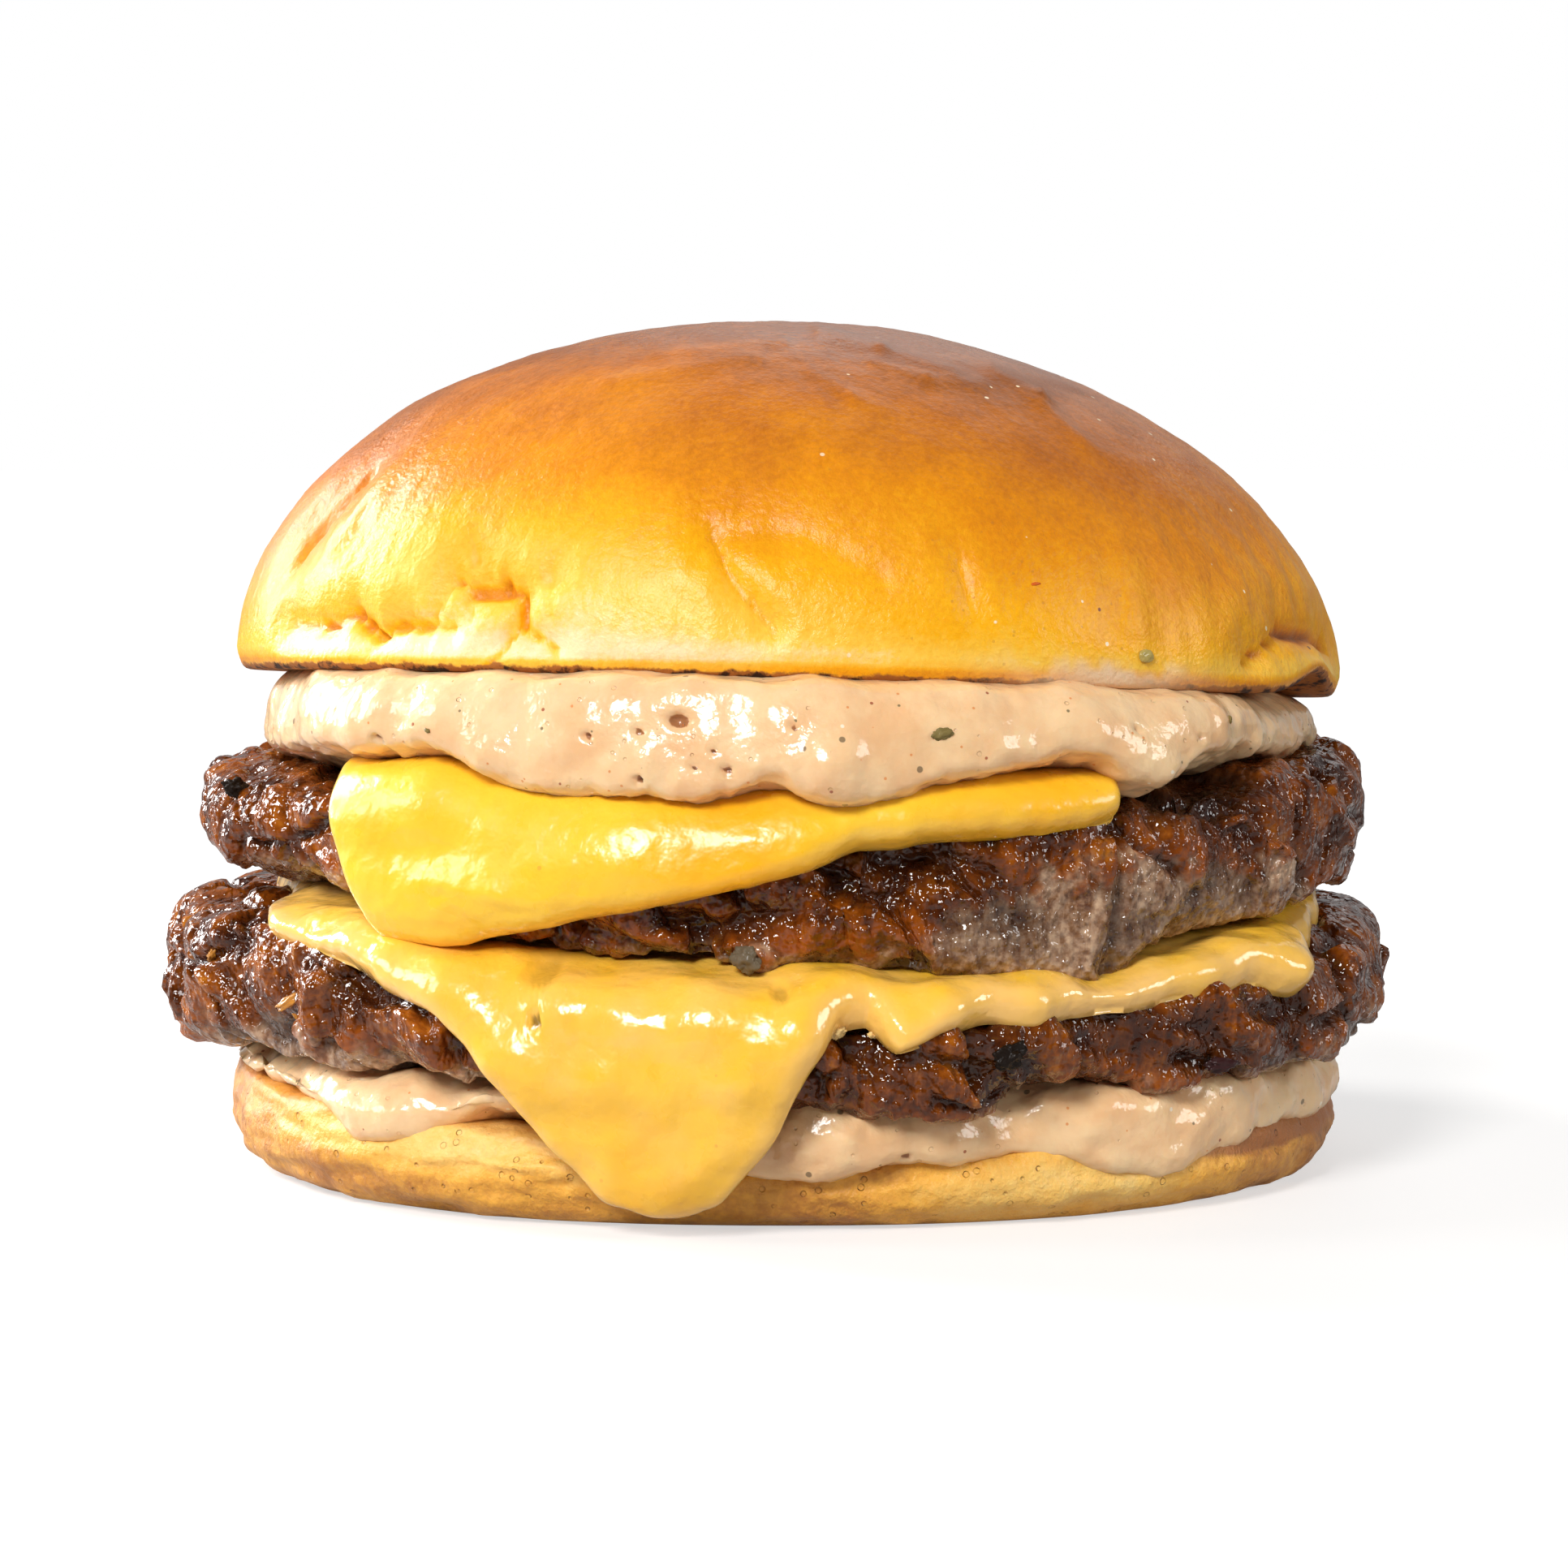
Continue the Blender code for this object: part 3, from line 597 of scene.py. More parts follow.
def bit_finish(name, colour, coat):
    """A small bit's finish: its colour, made uneven."""
    bit = Finish(name, Roughness=0.45, Coat_Weight=coat, Specular_IOR_Level=0.12)
    bit.feed("Base Color", bit.mix(bit.grain(0.6, 3), tuple(0.6 * part for part in colour), tuple(colour)))
    bit.feed("Normal", bit.relief(bit.grain(0.4, 3), 0.1))
    return bit.material


# Forms shared by the layers


def ring_places(turn, height):
    angle = np.radians(turn)
    return places(RING * np.sin(angle), RING * np.cos(angle), height)


def lumps(turn, height, size, seed):
    """The frame's own soft noise round a layer's side, so that crags fall where its solids have them."""
    spots = ring_places(turn, height)
    flat = (spots.reshape(-1, 3) / size + seed).tolist()
    return np.array([noise.noise(spot) for spot in flat]).reshape(spots.shape[:-1])


class Patty:
    """The carrying form of one patty: its rim radius, and its rim's upper and lower height."""

    def __init__(self, node, base, top, radius, upper_rim, lower_rim, seed):
        self.node, self.base, self.top, self.seed = node, base, top, seed
        self.rim_radius, self.upper_rim, self.lower_rim = around(radius), around(upper_rim), around(lower_rim)

    def section(self, turn, draped=False):
        """The patty's section, or the way a soft sheet takes over it and on, almost to the table."""
        r = self.rim_radius(turn) + 0.7 * lumps(turn, self.base, 11, self.seed)
        high, low, base = self.upper_rim(turn), self.lower_rim(turn), self.base
        over = [
            (0 * r, self.top), (0.45 * r, self.top), (0.76 * r, 0.4 * self.top + 0.6 * high),
            (0.91 * r, high), (0.985 * r, high - 1.3), (1.0 * r, 0.68 * high + 0.32 * low),
            (1.0 * r, 0.3 * high + 0.7 * low),
        ]
        if draped:
            return over + [
                (0.995 * r, low), (0.98 * r, low - 3.5), (0.955 * r, low - 7), (0.935 * r, low - 11),
                (0.93 * r, low - 14),
            ]
        return over + [
            (0.975 * r, low + 0.8), (0.93 * r, 0.75 * low + 0.25 * base), (0.82 * r, base - 0.2),
            (0.4 * r, base), (0 * r, base),
        ]


LOWER_PATTY = Patty(
    "lower_patty", 12.0, 23.6,
    radius=[(-150, 58.8), (-120, 59.3), (-90, 61.3), (-62, 60.8), (-35, 59.6), (0, 59.6), (15, 60.6),
            (35, 59.8), (60, 60.2), (90, 59.8), (120, 59), (155, 58.2)],
    upper_rim=[(-150, 23.6), (-88, 25.6), (-62, 26.4), (-46, 25.6), (-32, 23.4), (-12, 22), (30, 21.6),
               (60, 23.4), (90, 24.4), (140, 23.4)],
    lower_rim=[(-140, 11.6), (-88, 11.4), (-58, 13.2), (-29, 13.6), (-5, 11.6), (15, 9.6), (29, 12.4),
               (43, 11.2), (70, 11.4), (90, 11.8), (140, 11.2), (175, 10.2)],
    seed=2.7,
)
UPPER_PATTY = Patty(
    "upper_patty", 26.0, 38.4,
    radius=[(-150, 56.3), (-120, 56.5), (-90, 57.3), (-62, 57.6), (-40, 56.6), (0, 57), (30, 57.7),
            (60, 57.7), (90, 56.9), (125, 56.8), (160, 56)],
    upper_rim=[(-150, 38), (-90, 39.6), (-58, 39), (-40, 38.2), (0, 38.2), (26, 38.6), (50, 40),
               (80, 40.8), (130, 38.6)],
    lower_rim=[(-150, 25.8), (-90, 29), (-60, 29.8), (-46, 28.8), (-33, 25.6), (-20, 24.2),
               (-10, 23.5), (4, 22.2), (14, 21.5), (28, 21.7), (44, 25.2), (70, 26.4), (90, 26.6), (140, 26)],
    seed=14.1,
)


class Slice:
    """A sheet laid on a patty.

    Its hem is a list of (turn, radius, height) round the sheet's edge. Its filling is how thick it is
    under what lies on it, and its softness how widely it goes round the patty's corners.
    """

    def __init__(self, patty, hem, thickness, filling, softness):
        self.patty, self.thickness, self.filling, self.softness = patty, thickness, filling, softness
        turns, radii, heights = np.array(hem, float).T
        path, run, _ = self.route(turns)
        gaps = np.hypot(path[..., 0] - radii[:, None], path[..., 1] - heights[:, None])
        self.reach = around(list(zip(turns, run[np.arange(len(hem)), gaps.argmin(axis=1)])))
        self.hem_height = around(list(zip(turns, heights)))

    def route(self, turns):
        """The way over the patty, with the length run along it and its direction at each point."""
        path = section_curves(self.patty.section(turns, draped=True))
        reach = 3 * self.softness
        weights = np.exp(-((np.arange(-reach, reach + 1) / self.softness) ** 2))
        padded = np.concatenate([path[:, :1]] * reach + [path] + [path[:, -1:]] * reach, axis=1)
        path = sum(padded[:, k : k + FINE] * w for k, w in enumerate(weights / weights.sum()))
        steps = np.diff(path, axis=1)
        lengths = np.linalg.norm(steps, axis=2)
        ways = steps / np.maximum(lengths, 1e-6)[..., None]
        return path, run_along(lengths), np.concatenate([ways, ways[:, -1:]], axis=1)

    def turns(self, spokes):
        """Spokes set evenly along the sheet's outline, so that steep edges get enough of them."""
        fine = np.arange(-180, 180.01, 0.25)
        steps = np.radians(np.diff(fine)) * RING + np.abs(np.diff(self.reach(fine)))
        steps *= 1 + 0.8 * shown(fine[1:])
        run = np.concatenate([[0], np.cumsum(steps) / steps.sum()])
        return np.interp(np.arange(spokes) / spokes, run, fine)

    def sheet(self, spokes, rings, bead, wave, fullness):
        """The sheet as a grid, with each point's distance from the sheet's edge."""
        turns = self.turns(spokes)
        path, run, ways = self.route(turns)
        half = rings // 2
        outward_share = 1 - (1 - np.arange(half) / (half - 1)) ** 1.5
        share = np.concatenate([[0], 0.5 + 0.5 * outward_share])
        reach = self.reach(turns) + wave * rough_noise(stand(turns, path)[:, -1], 7.0, 5)
        fine = np.arange(-220, 220, 0.1)
        rim = np.stack([np.radians(fine) * RING, self.reach(fine)], axis=1)
        curves = np.empty((spokes, 2 * half + 2, 2))
        edge = np.empty((spokes, 2 * half + 2))
        for k, turn in enumerate(turns):
            along = reach[k] * share
            near = rim[np.abs(fine - turn) < 9] + (0, reach[k] - self.reach(turn))
            spots = np.stack([np.full(half + 1, np.radians(turn) * RING), along], axis=1)
            depth = np.linalg.norm(spots[:, None] - near, axis=2).min(axis=1)
            depth = np.minimum(depth, reach[k] - along + 1e-6)
            spot = np.stack([np.interp(along, run[k], path[k, :, axis]) for axis in (0, 1)], axis=1)
            way = np.stack([np.interp(along, run[k], ways[k, :, axis]) for axis in (0, 1)], axis=1)
            out = np.stack([-way[:, 1], way[:, 0]], axis=1)
            out[0] = (0, 1)
            out /= np.linalg.norm(out, axis=1)[:, None]
            thick = fullness(turn) * self.thickness
            full = self.filling + (thick - self.filling) * step_between(along, 44, 55)
            hangs = step_between(self.patty.base + 1 - spot[:, 1], -3, 3)
            rounding = (1 - (1 - np.minimum(depth / (0.62 * full), 1)) ** 2.6) ** (1 / 2.6)
            swollen = 1 + bead * bell(depth, 1.1 * self.thickness, 0.9 * self.thickness)
            lift = full * rounding * swollen * (1 - 0.3 * hangs)
            sink = 0.9 - hangs * (0.9 - 0.3 * self.thickness * rounding)
            curves[k, : half + 1] = spot + out * lift[:, None]
            curves[k, half + 1 :] = (spot - out * sink[:, None])[::-1]
            edge[k] = np.concatenate([depth, depth[::-1]])
        curves[:, [0, -1], 0] = 0
        return stand(turns, curves), edge


LOWER_SLICE = Slice(
    LOWER_PATTY,
    hem=[
        (-160, 52, 24), (-130, 54.5, 23.5), (-100, 51, 26), (-75, 50, 26.6), (-66, 51.5, 27),
        (-60, 55.5, 26.8), (-53, 58.4, 25.6), (-46, 59.2, 24.6), (-41, 59.2, 23.4), (-37, 59, 21.8),
        (-31, 59, 18.8), (-26.5, 59, 15.4), (-22.5, 58, 10.2), (-19, 57, 6.2), (-15.5, 56, 3.2),
        (-10.5, 55.5, 1.8), (-6.5, 56, 2.8), (-3.2, 56.5, 6.2), (-0.8, 58, 10.3), (2, 59, 16.2),
        (5, 59, 20.2), (7, 59, 20.8), (9.6, 59, 16.8), (13.5, 59, 18), (18, 59, 20.6), (22, 59, 19.8),
        (26, 59, 21.6), (35, 59, 21.8), (42, 59, 22.8), (47, 59, 21.6), (52, 59.5, 19.9), (56, 58.5, 22),
        (60, 56, 24), (80, 53, 25), (110, 52, 24.6), (140, 56, 23.2), (154, 58.4, 19.5),
        (164, 58.4, 15.5), (176, 58, 19),
    ],
    thickness=2.5,
    filling=3.0,
    softness=22,
)
UPPER_SLICE = Slice(
    UPPER_PATTY,
    hem=[
        (-165, 50, 38.5), (-150, 54, 37.6), (-140, 56.4, 33.5), (-132, 55.8, 36.4), (-110, 48, 39),
        (-80, 47, 39), (-60, 46, 39), (-50.5, 52.5, 38.9), (-45.6, 56.2, 35.8), (-42, 56.8, 30),
        (-38.2, 57, 25.8), (-32, 57, 25.4), (-24, 57, 26.8), (-15.5, 57, 29), (-5, 57, 30.8),
        (2, 57, 32.8), (7, 57, 35), (17, 57, 36.1), (27, 57, 36.1), (31, 56.8, 36.6), (33, 55, 38.3),
        (36, 48, 38.8), (60, 43, 39), (90, 43, 39), (115, 50, 39), (128, 53, 38), (150, 50, 38.5),
        (175, 46, 38.6),
    ],
    thickness=2.9,
    filling=2.6,
    softness=7,
)
HEEL_RIM = around([(-90, 10.2), (-50, 9.0), (0, 7.4), (45, 7.0), (90, 7.4), (135, 9.0), (180, 10.0)])
LOWER_SAUCE_RIM = around([
    (-120, 52), (-90, 53.5), (-62, 55), (-42, 57.6), (-30, 55), (-10, 54.5), (8, 56.6), (20, 55),
    (38, 57.6), (55, 56.2), (90, 54.5), (130, 52), (165, 55.5),
])
LOWER_SAUCE_LOW = around([
    (-120, 9.5), (-90, 9.2), (-62, 9.6), (-50, 8.6), (-42, 6.9), (-34, 8), (-29, 10.6), (-20, 10.4),
    (-8, 6.5), (4, 5.2), (15, 6.6), (24, 6.2), (38, 3.8), (50, 5.4), (70, 6.4), (95, 7), (130, 8.4),
    (165, 6),
])
UPPER_SAUCE_RIM = around([
    (-150, 50.5), (-110, 50.5), (-78, 51.5), (-60, 54), (-50, 56.5), (-35, 58.4), (-15, 59), (5, 59.6),
    (25, 58.8), (36, 59.2), (48, 56.8), (62, 53.5), (90, 52.2), (130, 51.5), (170, 53),
])
UPPER_SAUCE_LOW = around([
    (-150, 38.5), (-110, 38.5), (-78, 40), (-57, 41.6), (-48, 42.2), (-40, 43), (-34, 42.8),
    (-27.4, 41.4), (-22.6, 40.2), (-16.5, 39.5), (-7.6, 39.5), (-3.5, 40), (-0.5, 41.2), (2.4, 39.9),
    (6, 39.2), (9.7, 39.6), (14.1, 40.8), (20.2, 42), (29, 42.6), (32.7, 40.2), (35.3, 39.6),
    (40.3, 41.6), (48.4, 42), (54, 41.2), (64, 40.6), (90, 39.6), (130, 38.6), (170, 37),
])


def heel_section(turn):
    r, rim = squarish(turn, BUN_HALF_WIDTH, BUN_HALF_DEPTH, 2.35), HEEL_RIM(turn)
    return [
        (0 * r, 9.8), (0.5 * r, 9.6), (0.88 * r, rim + 0.6), (0.965 * r, rim), (0.985 * r, rim),
        (0.995 * r, 0.84 * rim), (1.006 * r, 0.58 * rim), (0.995 * r, 0.32 * rim), (0.965 * r, 0.1 * rim),
        (0.925 * r, 0), (0.9 * r, 0), (0.8 * r, 0), (0.4 * r, 0), (0 * r, 0),
    ]


def cut_face(turn, radius):
    """Height of the crown's cut face, which leans back and dips to one side."""
    angle = np.radians(turn)
    return CROWN_BASE + radius * (CROWN_PITCH * np.cos(angle) - CROWN_ROLL * np.sin(angle))


def lower_sauce_section(turn):
    rim, low = LOWER_SAUCE_RIM(turn), LOWER_SAUCE_LOW(turn)
    flat = 0 * turn
    return [
        (flat, 13.2), (flat + 36, 13.2), (rim - 6, 13.4), (rim - 1.6, 12.2), (rim - 0.2, 10),
        (rim, low + 2), (rim - 0.6, low), (rim - 3.2, low - 0.3), (flat + 46, 6.5), (flat + 24, 7),
        (flat, 7),
    ]


def upper_sauce_section(turn):
    ring = ring_places(turn, 0)
    rim = UPPER_SAUCE_RIM(turn) + 0.3 * rough_noise(ring, 6, 31)
    low = UPPER_SAUCE_LOW(turn) + 0.45 * rough_noise(ring, 4.5, 32)
    face = cut_face(turn, 52)
    middle = (face + low) / 2
    flat = 0 * turn
    return [
        (flat, CROWN_BASE + 0.9), (flat + 30, cut_face(turn, 30) + 0.9),
        (flat + 46, cut_face(turn, 46) + 0.9), (rim - 3.4, face + 0.5), (rim - 1.8, face - 0.9),
        (rim - 0.7, middle + 1.0), (rim, low + 1.5), (rim - 0.5, low + 0.3), (rim - 1.8, low - 0.2),
        (rim - 5, low - 1.2), (flat + 44, 37), (flat + 24, 36.8), (flat, 36.8),
    ]


def crown_section(turn):
    r = squarish(turn, BUN_HALF_WIDTH, BUN_HALF_DEPTH, 2.1) * (1 + 0.008 * np.sin(np.radians(turn)))
    dome = [
        (1.004 * r * math.sin(a), 1.004 * CROWN_RISE * math.cos(a) + 0 * r)
        for a in np.linspace(0, math.radians(85), 12)
    ]
    return dome + [
        (0.996 * r, 0.02 * CROWN_RISE), (0.985 * r, 0), (0.97 * r, 0), (0.93 * r, 0), (0.8 * r, 0),
        (0.4 * r, 0), (0 * r, 0),
    ]


CREASES = [
    # turn and height of each end, half width and depth
    (-37.6, 54.3, -35.1, 58.2, 1.2, 0.8), (-35.1, 58.2, -32.8, 57.3, 1.1, 1.1),
    (-32.8, 57.3, -26.6, 56.7, 1.1, 1.5), (-33.2, 60, -28.7, 58.1, 1, 0.7),
    (-28.7, 58.1, -26.6, 56.7, 1, 1.2), (-26.6, 56.7, -23.4, 58.4, 1, 0.7),
    (-26.6, 56.7, -26.4, 54, 1.1, 1.4), (-26.4, 54, -30, 50.2, 1.1, 1),
    (-26.4, 54, -22.5, 51.6, 1.1, 1.1), (-47.8, 54.3, -44, 52.5, 1.2, 1.7),
    (-44, 52.5, -40, 54, 1.2, 1.5), (-40, 54, -37.5, 53.3, 1.1, 1.4),
    (-37.5, 53.3, -34.5, 53.5, 1.1, 1.2), (-34.5, 53.5, -32, 55, 1, 0.7), (-60, 53.3, -53.5, 53, 1.4, 1),
    (-53.5, 53, -47.8, 54.3, 1.4, 1.3), (-64, 59.7, -60, 67.1, 2, 0.7),
    (-54, 60.6, -52.6, 62.6, 0.9, 0.45), (-7.8, 62.6, -4.2, 56.9, 1, 0.7),
    (-4.2, 56.9, -1.3, 54, 0.9, 0.8), (-7.6, 62.7, 1, 62.3, 1.3, 0.55), (1, 62.3, 10, 59, 1.3, 0.4),
    (17.5, 60, 18.6, 55.8, 0.7, 0.4), (52, 50, 61, 52.6, 1.6, 1), (61, 52.6, 79, 50.2, 1.6, 1.2),
    (118, 54, 140, 57.5, 2.2, 0.85), (140, 57.5, 152, 52, 1.9, 0.75), (-150, 52.5, -128, 54.5, 2.1, 0.75),
    (176, 64, 196, 56, 2.4, 0.6),
]
TOP_RIDGES = [
    # left to right and height of each end as seen from in front, half width and lift
    (3.2, 80.2, 9.3, 78.5, 0.7, 0.35), (9.3, 78.5, 15.7, 76.4, 0.7, 0.4),
    (8.3, 77.3, 13.4, 75.8, 0.5, 0.3), (13.4, 75.8, 18.5, 75, 0.5, 0.3),
    (19.6, 76.3, 23.6, 73.9, 0.9, 0.6), (23.6, 73.9, 27.2, 69.7, 0.8, 0.4),
    (27.2, 69.7, 32.3, 67.9, 0.8, 0.2), (2.2, 76.6, 6.3, 74.2, 0.6, 0.2),
    (6.3, 74.2, 9.3, 73.2, 0.6, 0.2), (-17, 75.5, -2, 77.8, 0.6, 0.25), (-12, 78, 0, 79.2, 0.5, 0.25),
]


# Sizes and colours that a user would change


def colour_setting(name, description, default):
    return FloatVectorProperty(name=name, description=description, default=default, size=3, min=0, max=1,
                               subtype="COLOR")


def length_setting(name, description, default):
    return FloatProperty(name=name, description=description, default=default * MM, unit="LENGTH")


class BurgerBunSettings(bpy.types.PropertyGroup):
    pale_colour: colour_setting("Pale crust", "Crust low on the side, where it browned least",
                                (0.97, 0.78, 0.45))
    golden_colour: colour_setting("Golden crust", "Crust half way up", (0.93, 0.43, 0.006))
    brown_colour: colour_setting("Brown crust", "Crust on top", (0.50, 0.14, 0.005))
    toast_colour: colour_setting("Toasted face", "The browned cut faces and their edges", (0.38, 0.13, 0.025))
    crease_depth: FloatProperty(
        name="Crease depth", description="How deep the baking creases are, as a share",
        default=2.0, min=0, max=4,
    )


class BurgerPattySettings(bpy.types.PropertyGroup):
    dark_colour: colour_setting("Dark crust", "The most seared meat", (0.075, 0.015, 0.001))
    red_colour: colour_setting("Red-brown crust", "Seared meat between the darkest crags",
                               (0.19, 0.042, 0.002))
    grey_colour: colour_setting("Grey meat", "Cooked meat that the griddle didn't touch", (0.38, 0.23, 0.14))
    crag_depth: length_setting("Fissure depth", "Depth of the fissures between the crust's lobes", 1.35)
    lobe_size: length_setting("Lobe size", "Size of the lobes between the crust's fissures", 9.5)
    grain_size: length_setting("Grain size", "Size of the minced grains", 3.0)


class BurgerCheeseSettings(bpy.types.PropertyGroup):
    upper_colour: colour_setting("Upper slice", "Colour of the upper slice", (0.99, 0.59, 0.03))
    lower_colour: colour_setting("Lower slice", "Colour of the lower slice", (0.99, 0.55, 0.04))
    thin_colour: colour_setting("Thin cheese", "Where the cheese has run thin", (0.96, 0.56, 0.16))


class BurgerSauceSettings(bpy.types.PropertyGroup):
    colour: colour_setting("Sauce", "Main colour", (0.91, 0.63, 0.35))
    warm_colour: colour_setting("Warm streaks", "Colour of its warmer streaks", (0.84, 0.50, 0.25))
    bubbles: IntProperty(name="Bubbles", description="Open bubbles round the upper layer", default=16, min=0)


class BurgerStageSettings(bpy.types.PropertyGroup):
    floor_colour: colour_setting("Table", "Colour of the table", (0.46, 0.45, 0.44))
    distance: length_setting("Camera distance", "From the middle of the burger to the camera", 480)
    aim_height: length_setting("Aim height", "Height that the camera looks at", 35.6)
    elevation: FloatProperty(name="Elevation", description="How far the camera looks down",
                             default=math.radians(5), subtype="ANGLE")
    lens: FloatProperty(name="Focal length", description="Of the lens, in millimetres", default=110.9)


# The pieces


class BURGER_OT_heel(bpy.types.Operator):
    """Lower bun: squeezed thin at the front, torn and toasted at its cut edge"""

    bl_idname = "burger.heel"
    bl_label = "Lower bun"

    def execute(self, context):
        bun = context.scene.burger_bun
        grid = layer_grid(heel_section, 520, 130, 46)
        flat = step_between(grid[..., 2], 0.0, 0.7)
        side = step_between(radius_of(grid), 48, 51) * flat
        grid = push(grid, side * (0.35 * soft_noise(grid, 14, 3) + 0.22 * rough_noise(grid, 5, 9)))
        turn, height = turn_of(grid), grid[..., 2]
        wrinkles = soft_noise(places(turn * 0.9, height * 3.2, 0), 6.0, 12)
        grid = push(grid, side * 0.5 * np.minimum(wrinkles, 0.2) * clear_of_back(turn))
        rim = HEEL_RIM(turn)
        share = height / rim
        torn = rough_noise(places(turn * 0.5, height * 2.4, 0), 5.5, 21) * clear_of_back(turn)
        pale = 0.36 * about(turn, -33, 22) * step_between(share, 0.35, 0.8)
        pale += 0.34 * about(turn, 27, 15) * bell(share, 0.5, 0.4)
        browner = step_between(turn_gap(turn, 60), -25, 20) * (1 - step_between(turn_gap(turn, 60), 90, 165))
        bake = 0.62 + 0.08 * torn - pale + 0.26 * browner
        bake += 0.14 * about(turn, -70, 34) + 0.1 * about(turn, 4, 12)
        flake = about(turn, -22, 12) * bell(share + 0.15 * torn, 0.72, 0.1)
        grid = push(grid, side * 0.9 * flake)
        right = step_between(turn, 30, 50) * clear_of_back(turn)
        toast = step_between(share + 0.1 * torn + 0.3 * right, 0.93, 0.99) * (0.35 + 0.65 * right)
        toast = np.where(radius_of(grid) < 50, 1, toast)
        make_piece("bun_heel", grid, heel_side(bun), "heel_crumb", "heel_bun",
                   bake=np.clip(bake, 0, 1), toast=np.clip(toast, 0, 1))
        return {"FINISHED"}


def distance_to(across, up, run):
    """How far places are from a line that starts at their zero."""
    place = np.clip((across * run[0] + up * run[1]) / (run @ run), 0, 1)
    return np.hypot(across - place * run[0], up - place * run[1])


def strokes(turn, height, lines):
    """How deep lines cut: each is (turn, height, turn, height, half width, depth)."""
    total = np.zeros(np.broadcast(turn, height).shape)
    for turn_a, height_a, turn_b, height_b, half_width, depth in lines:
        run = np.array([math.radians(turn_b - turn_a) * SKIN_RING, height_b - height_a])
        away = distance_to(np.radians(turn_gap(turn, turn_a)) * SKIN_RING, height - height_a, run)
        wide, sharp = (np.clip(1 - away / (reach * half_width), 0, 1) for reach in (3.0, 0.65))
        total = np.maximum(total, depth * (0.55 * wide + 0.45 * sharp))
    return total


def open_bubbles(grid, marks):
    """How far each point is inside an open bubble: marks are (turn, height, half width, half height)."""
    turn, height = turn_of(grid), grid[..., 2]
    pit = np.zeros(turn.shape)
    for mark_turn, mark_height, half_width, half_height in marks:
        along = np.radians(turn_gap(turn, mark_turn)) * radius_of(grid) / half_width
        away = np.hypot(along, (height - mark_height) / half_height)
        pit = np.maximum(pit, step_between(1.5 - away, 0, 1))
    return pit * step_between(radius_of(grid), 47, 50)


class BURGER_OT_sauces(bpy.types.Operator):
    """Two layers of sauce, squeezed out in bulges and drips, with open bubbles"""

    bl_idname = "burger.sauces"
    bl_label = "Sauce"

    def execute(self, context):
        settings = context.scene.burger_sauce
        finish = burger_sauce(settings)
        draw = np.random.default_rng(8)

        grid = layer_grid(upper_sauce_section, 600, 130, 46)
        turn, height = turn_of(grid), grid[..., 2]
        side = step_between(radius_of(grid), 47, 51)
        along = clear_of_back(turn) * soft_noise(places(turn * 0.8, height, 0), 8, 4)
        bulge = patches(turn, height, [(1.1, 4, 4.5, 42.5, 3), (0.5, 35, 3, 42, 3)])
        near_hem = step_between(UPPER_SAUCE_LOW(turn) + 4 - height, 0, 3)
        grid = push(grid, side * (0.6 * along + 0.35 * soft_noise(grid, 4.5, 6) + bulge))
        grid = push(grid, side * (0.08 + 0.16 * near_hem) * rough_noise(grid, 2.2, 14))
        marks = [(-9.2, 46.2, 0.95, 0.6), (-12.7, 45.2, 0.35, 0.35), (-12.5, 40.9, 0.35, 0.45),
                 (-4.8, 41.9, 0.4, 0.4), (-5.9, 43.6, 0.25, 0.3)]
        for _ in range(settings.bubbles):
            half = draw.uniform(0.2, 0.4)
            spot = draw.uniform(-180, 180), draw.uniform(40.5, 47.5)
            marks.append((*spot, half * draw.uniform(1, 1.5), half))
        pit = open_bubbles(grid, marks)
        make_piece("sauce_upper", push(grid, -1.0 * pit), finish, "sauce", "upper_sauce", pit=pit)

        grid = layer_grid(lower_sauce_section, 600, 110, 48)
        turn = turn_of(grid)
        side = step_between(radius_of(grid), 50, 53)
        along = clear_of_back(turn) * soft_noise(places(turn * 0.8, grid[..., 2] * 0.6, 0), 7, 17)
        grid = push(grid, side * (0.9 * along + 0.6 * soft_noise(grid, 4, 19)))
        grid = push(grid, side * 0.16 * rough_noise(grid, 2.2, 23))
        marks = [
            (draw.uniform(-180, 180), draw.uniform(6, 11), draw.uniform(0.3, 0.6), draw.uniform(0.25, 0.5))
            for _ in range(settings.bubbles // 2)
        ]
        pit = open_bubbles(grid, marks)
        make_piece("sauce_lower", push(grid, -0.5 * pit), finish, "sauce", "lower_sauce", pit=pit)
        return {"FINISHED"}


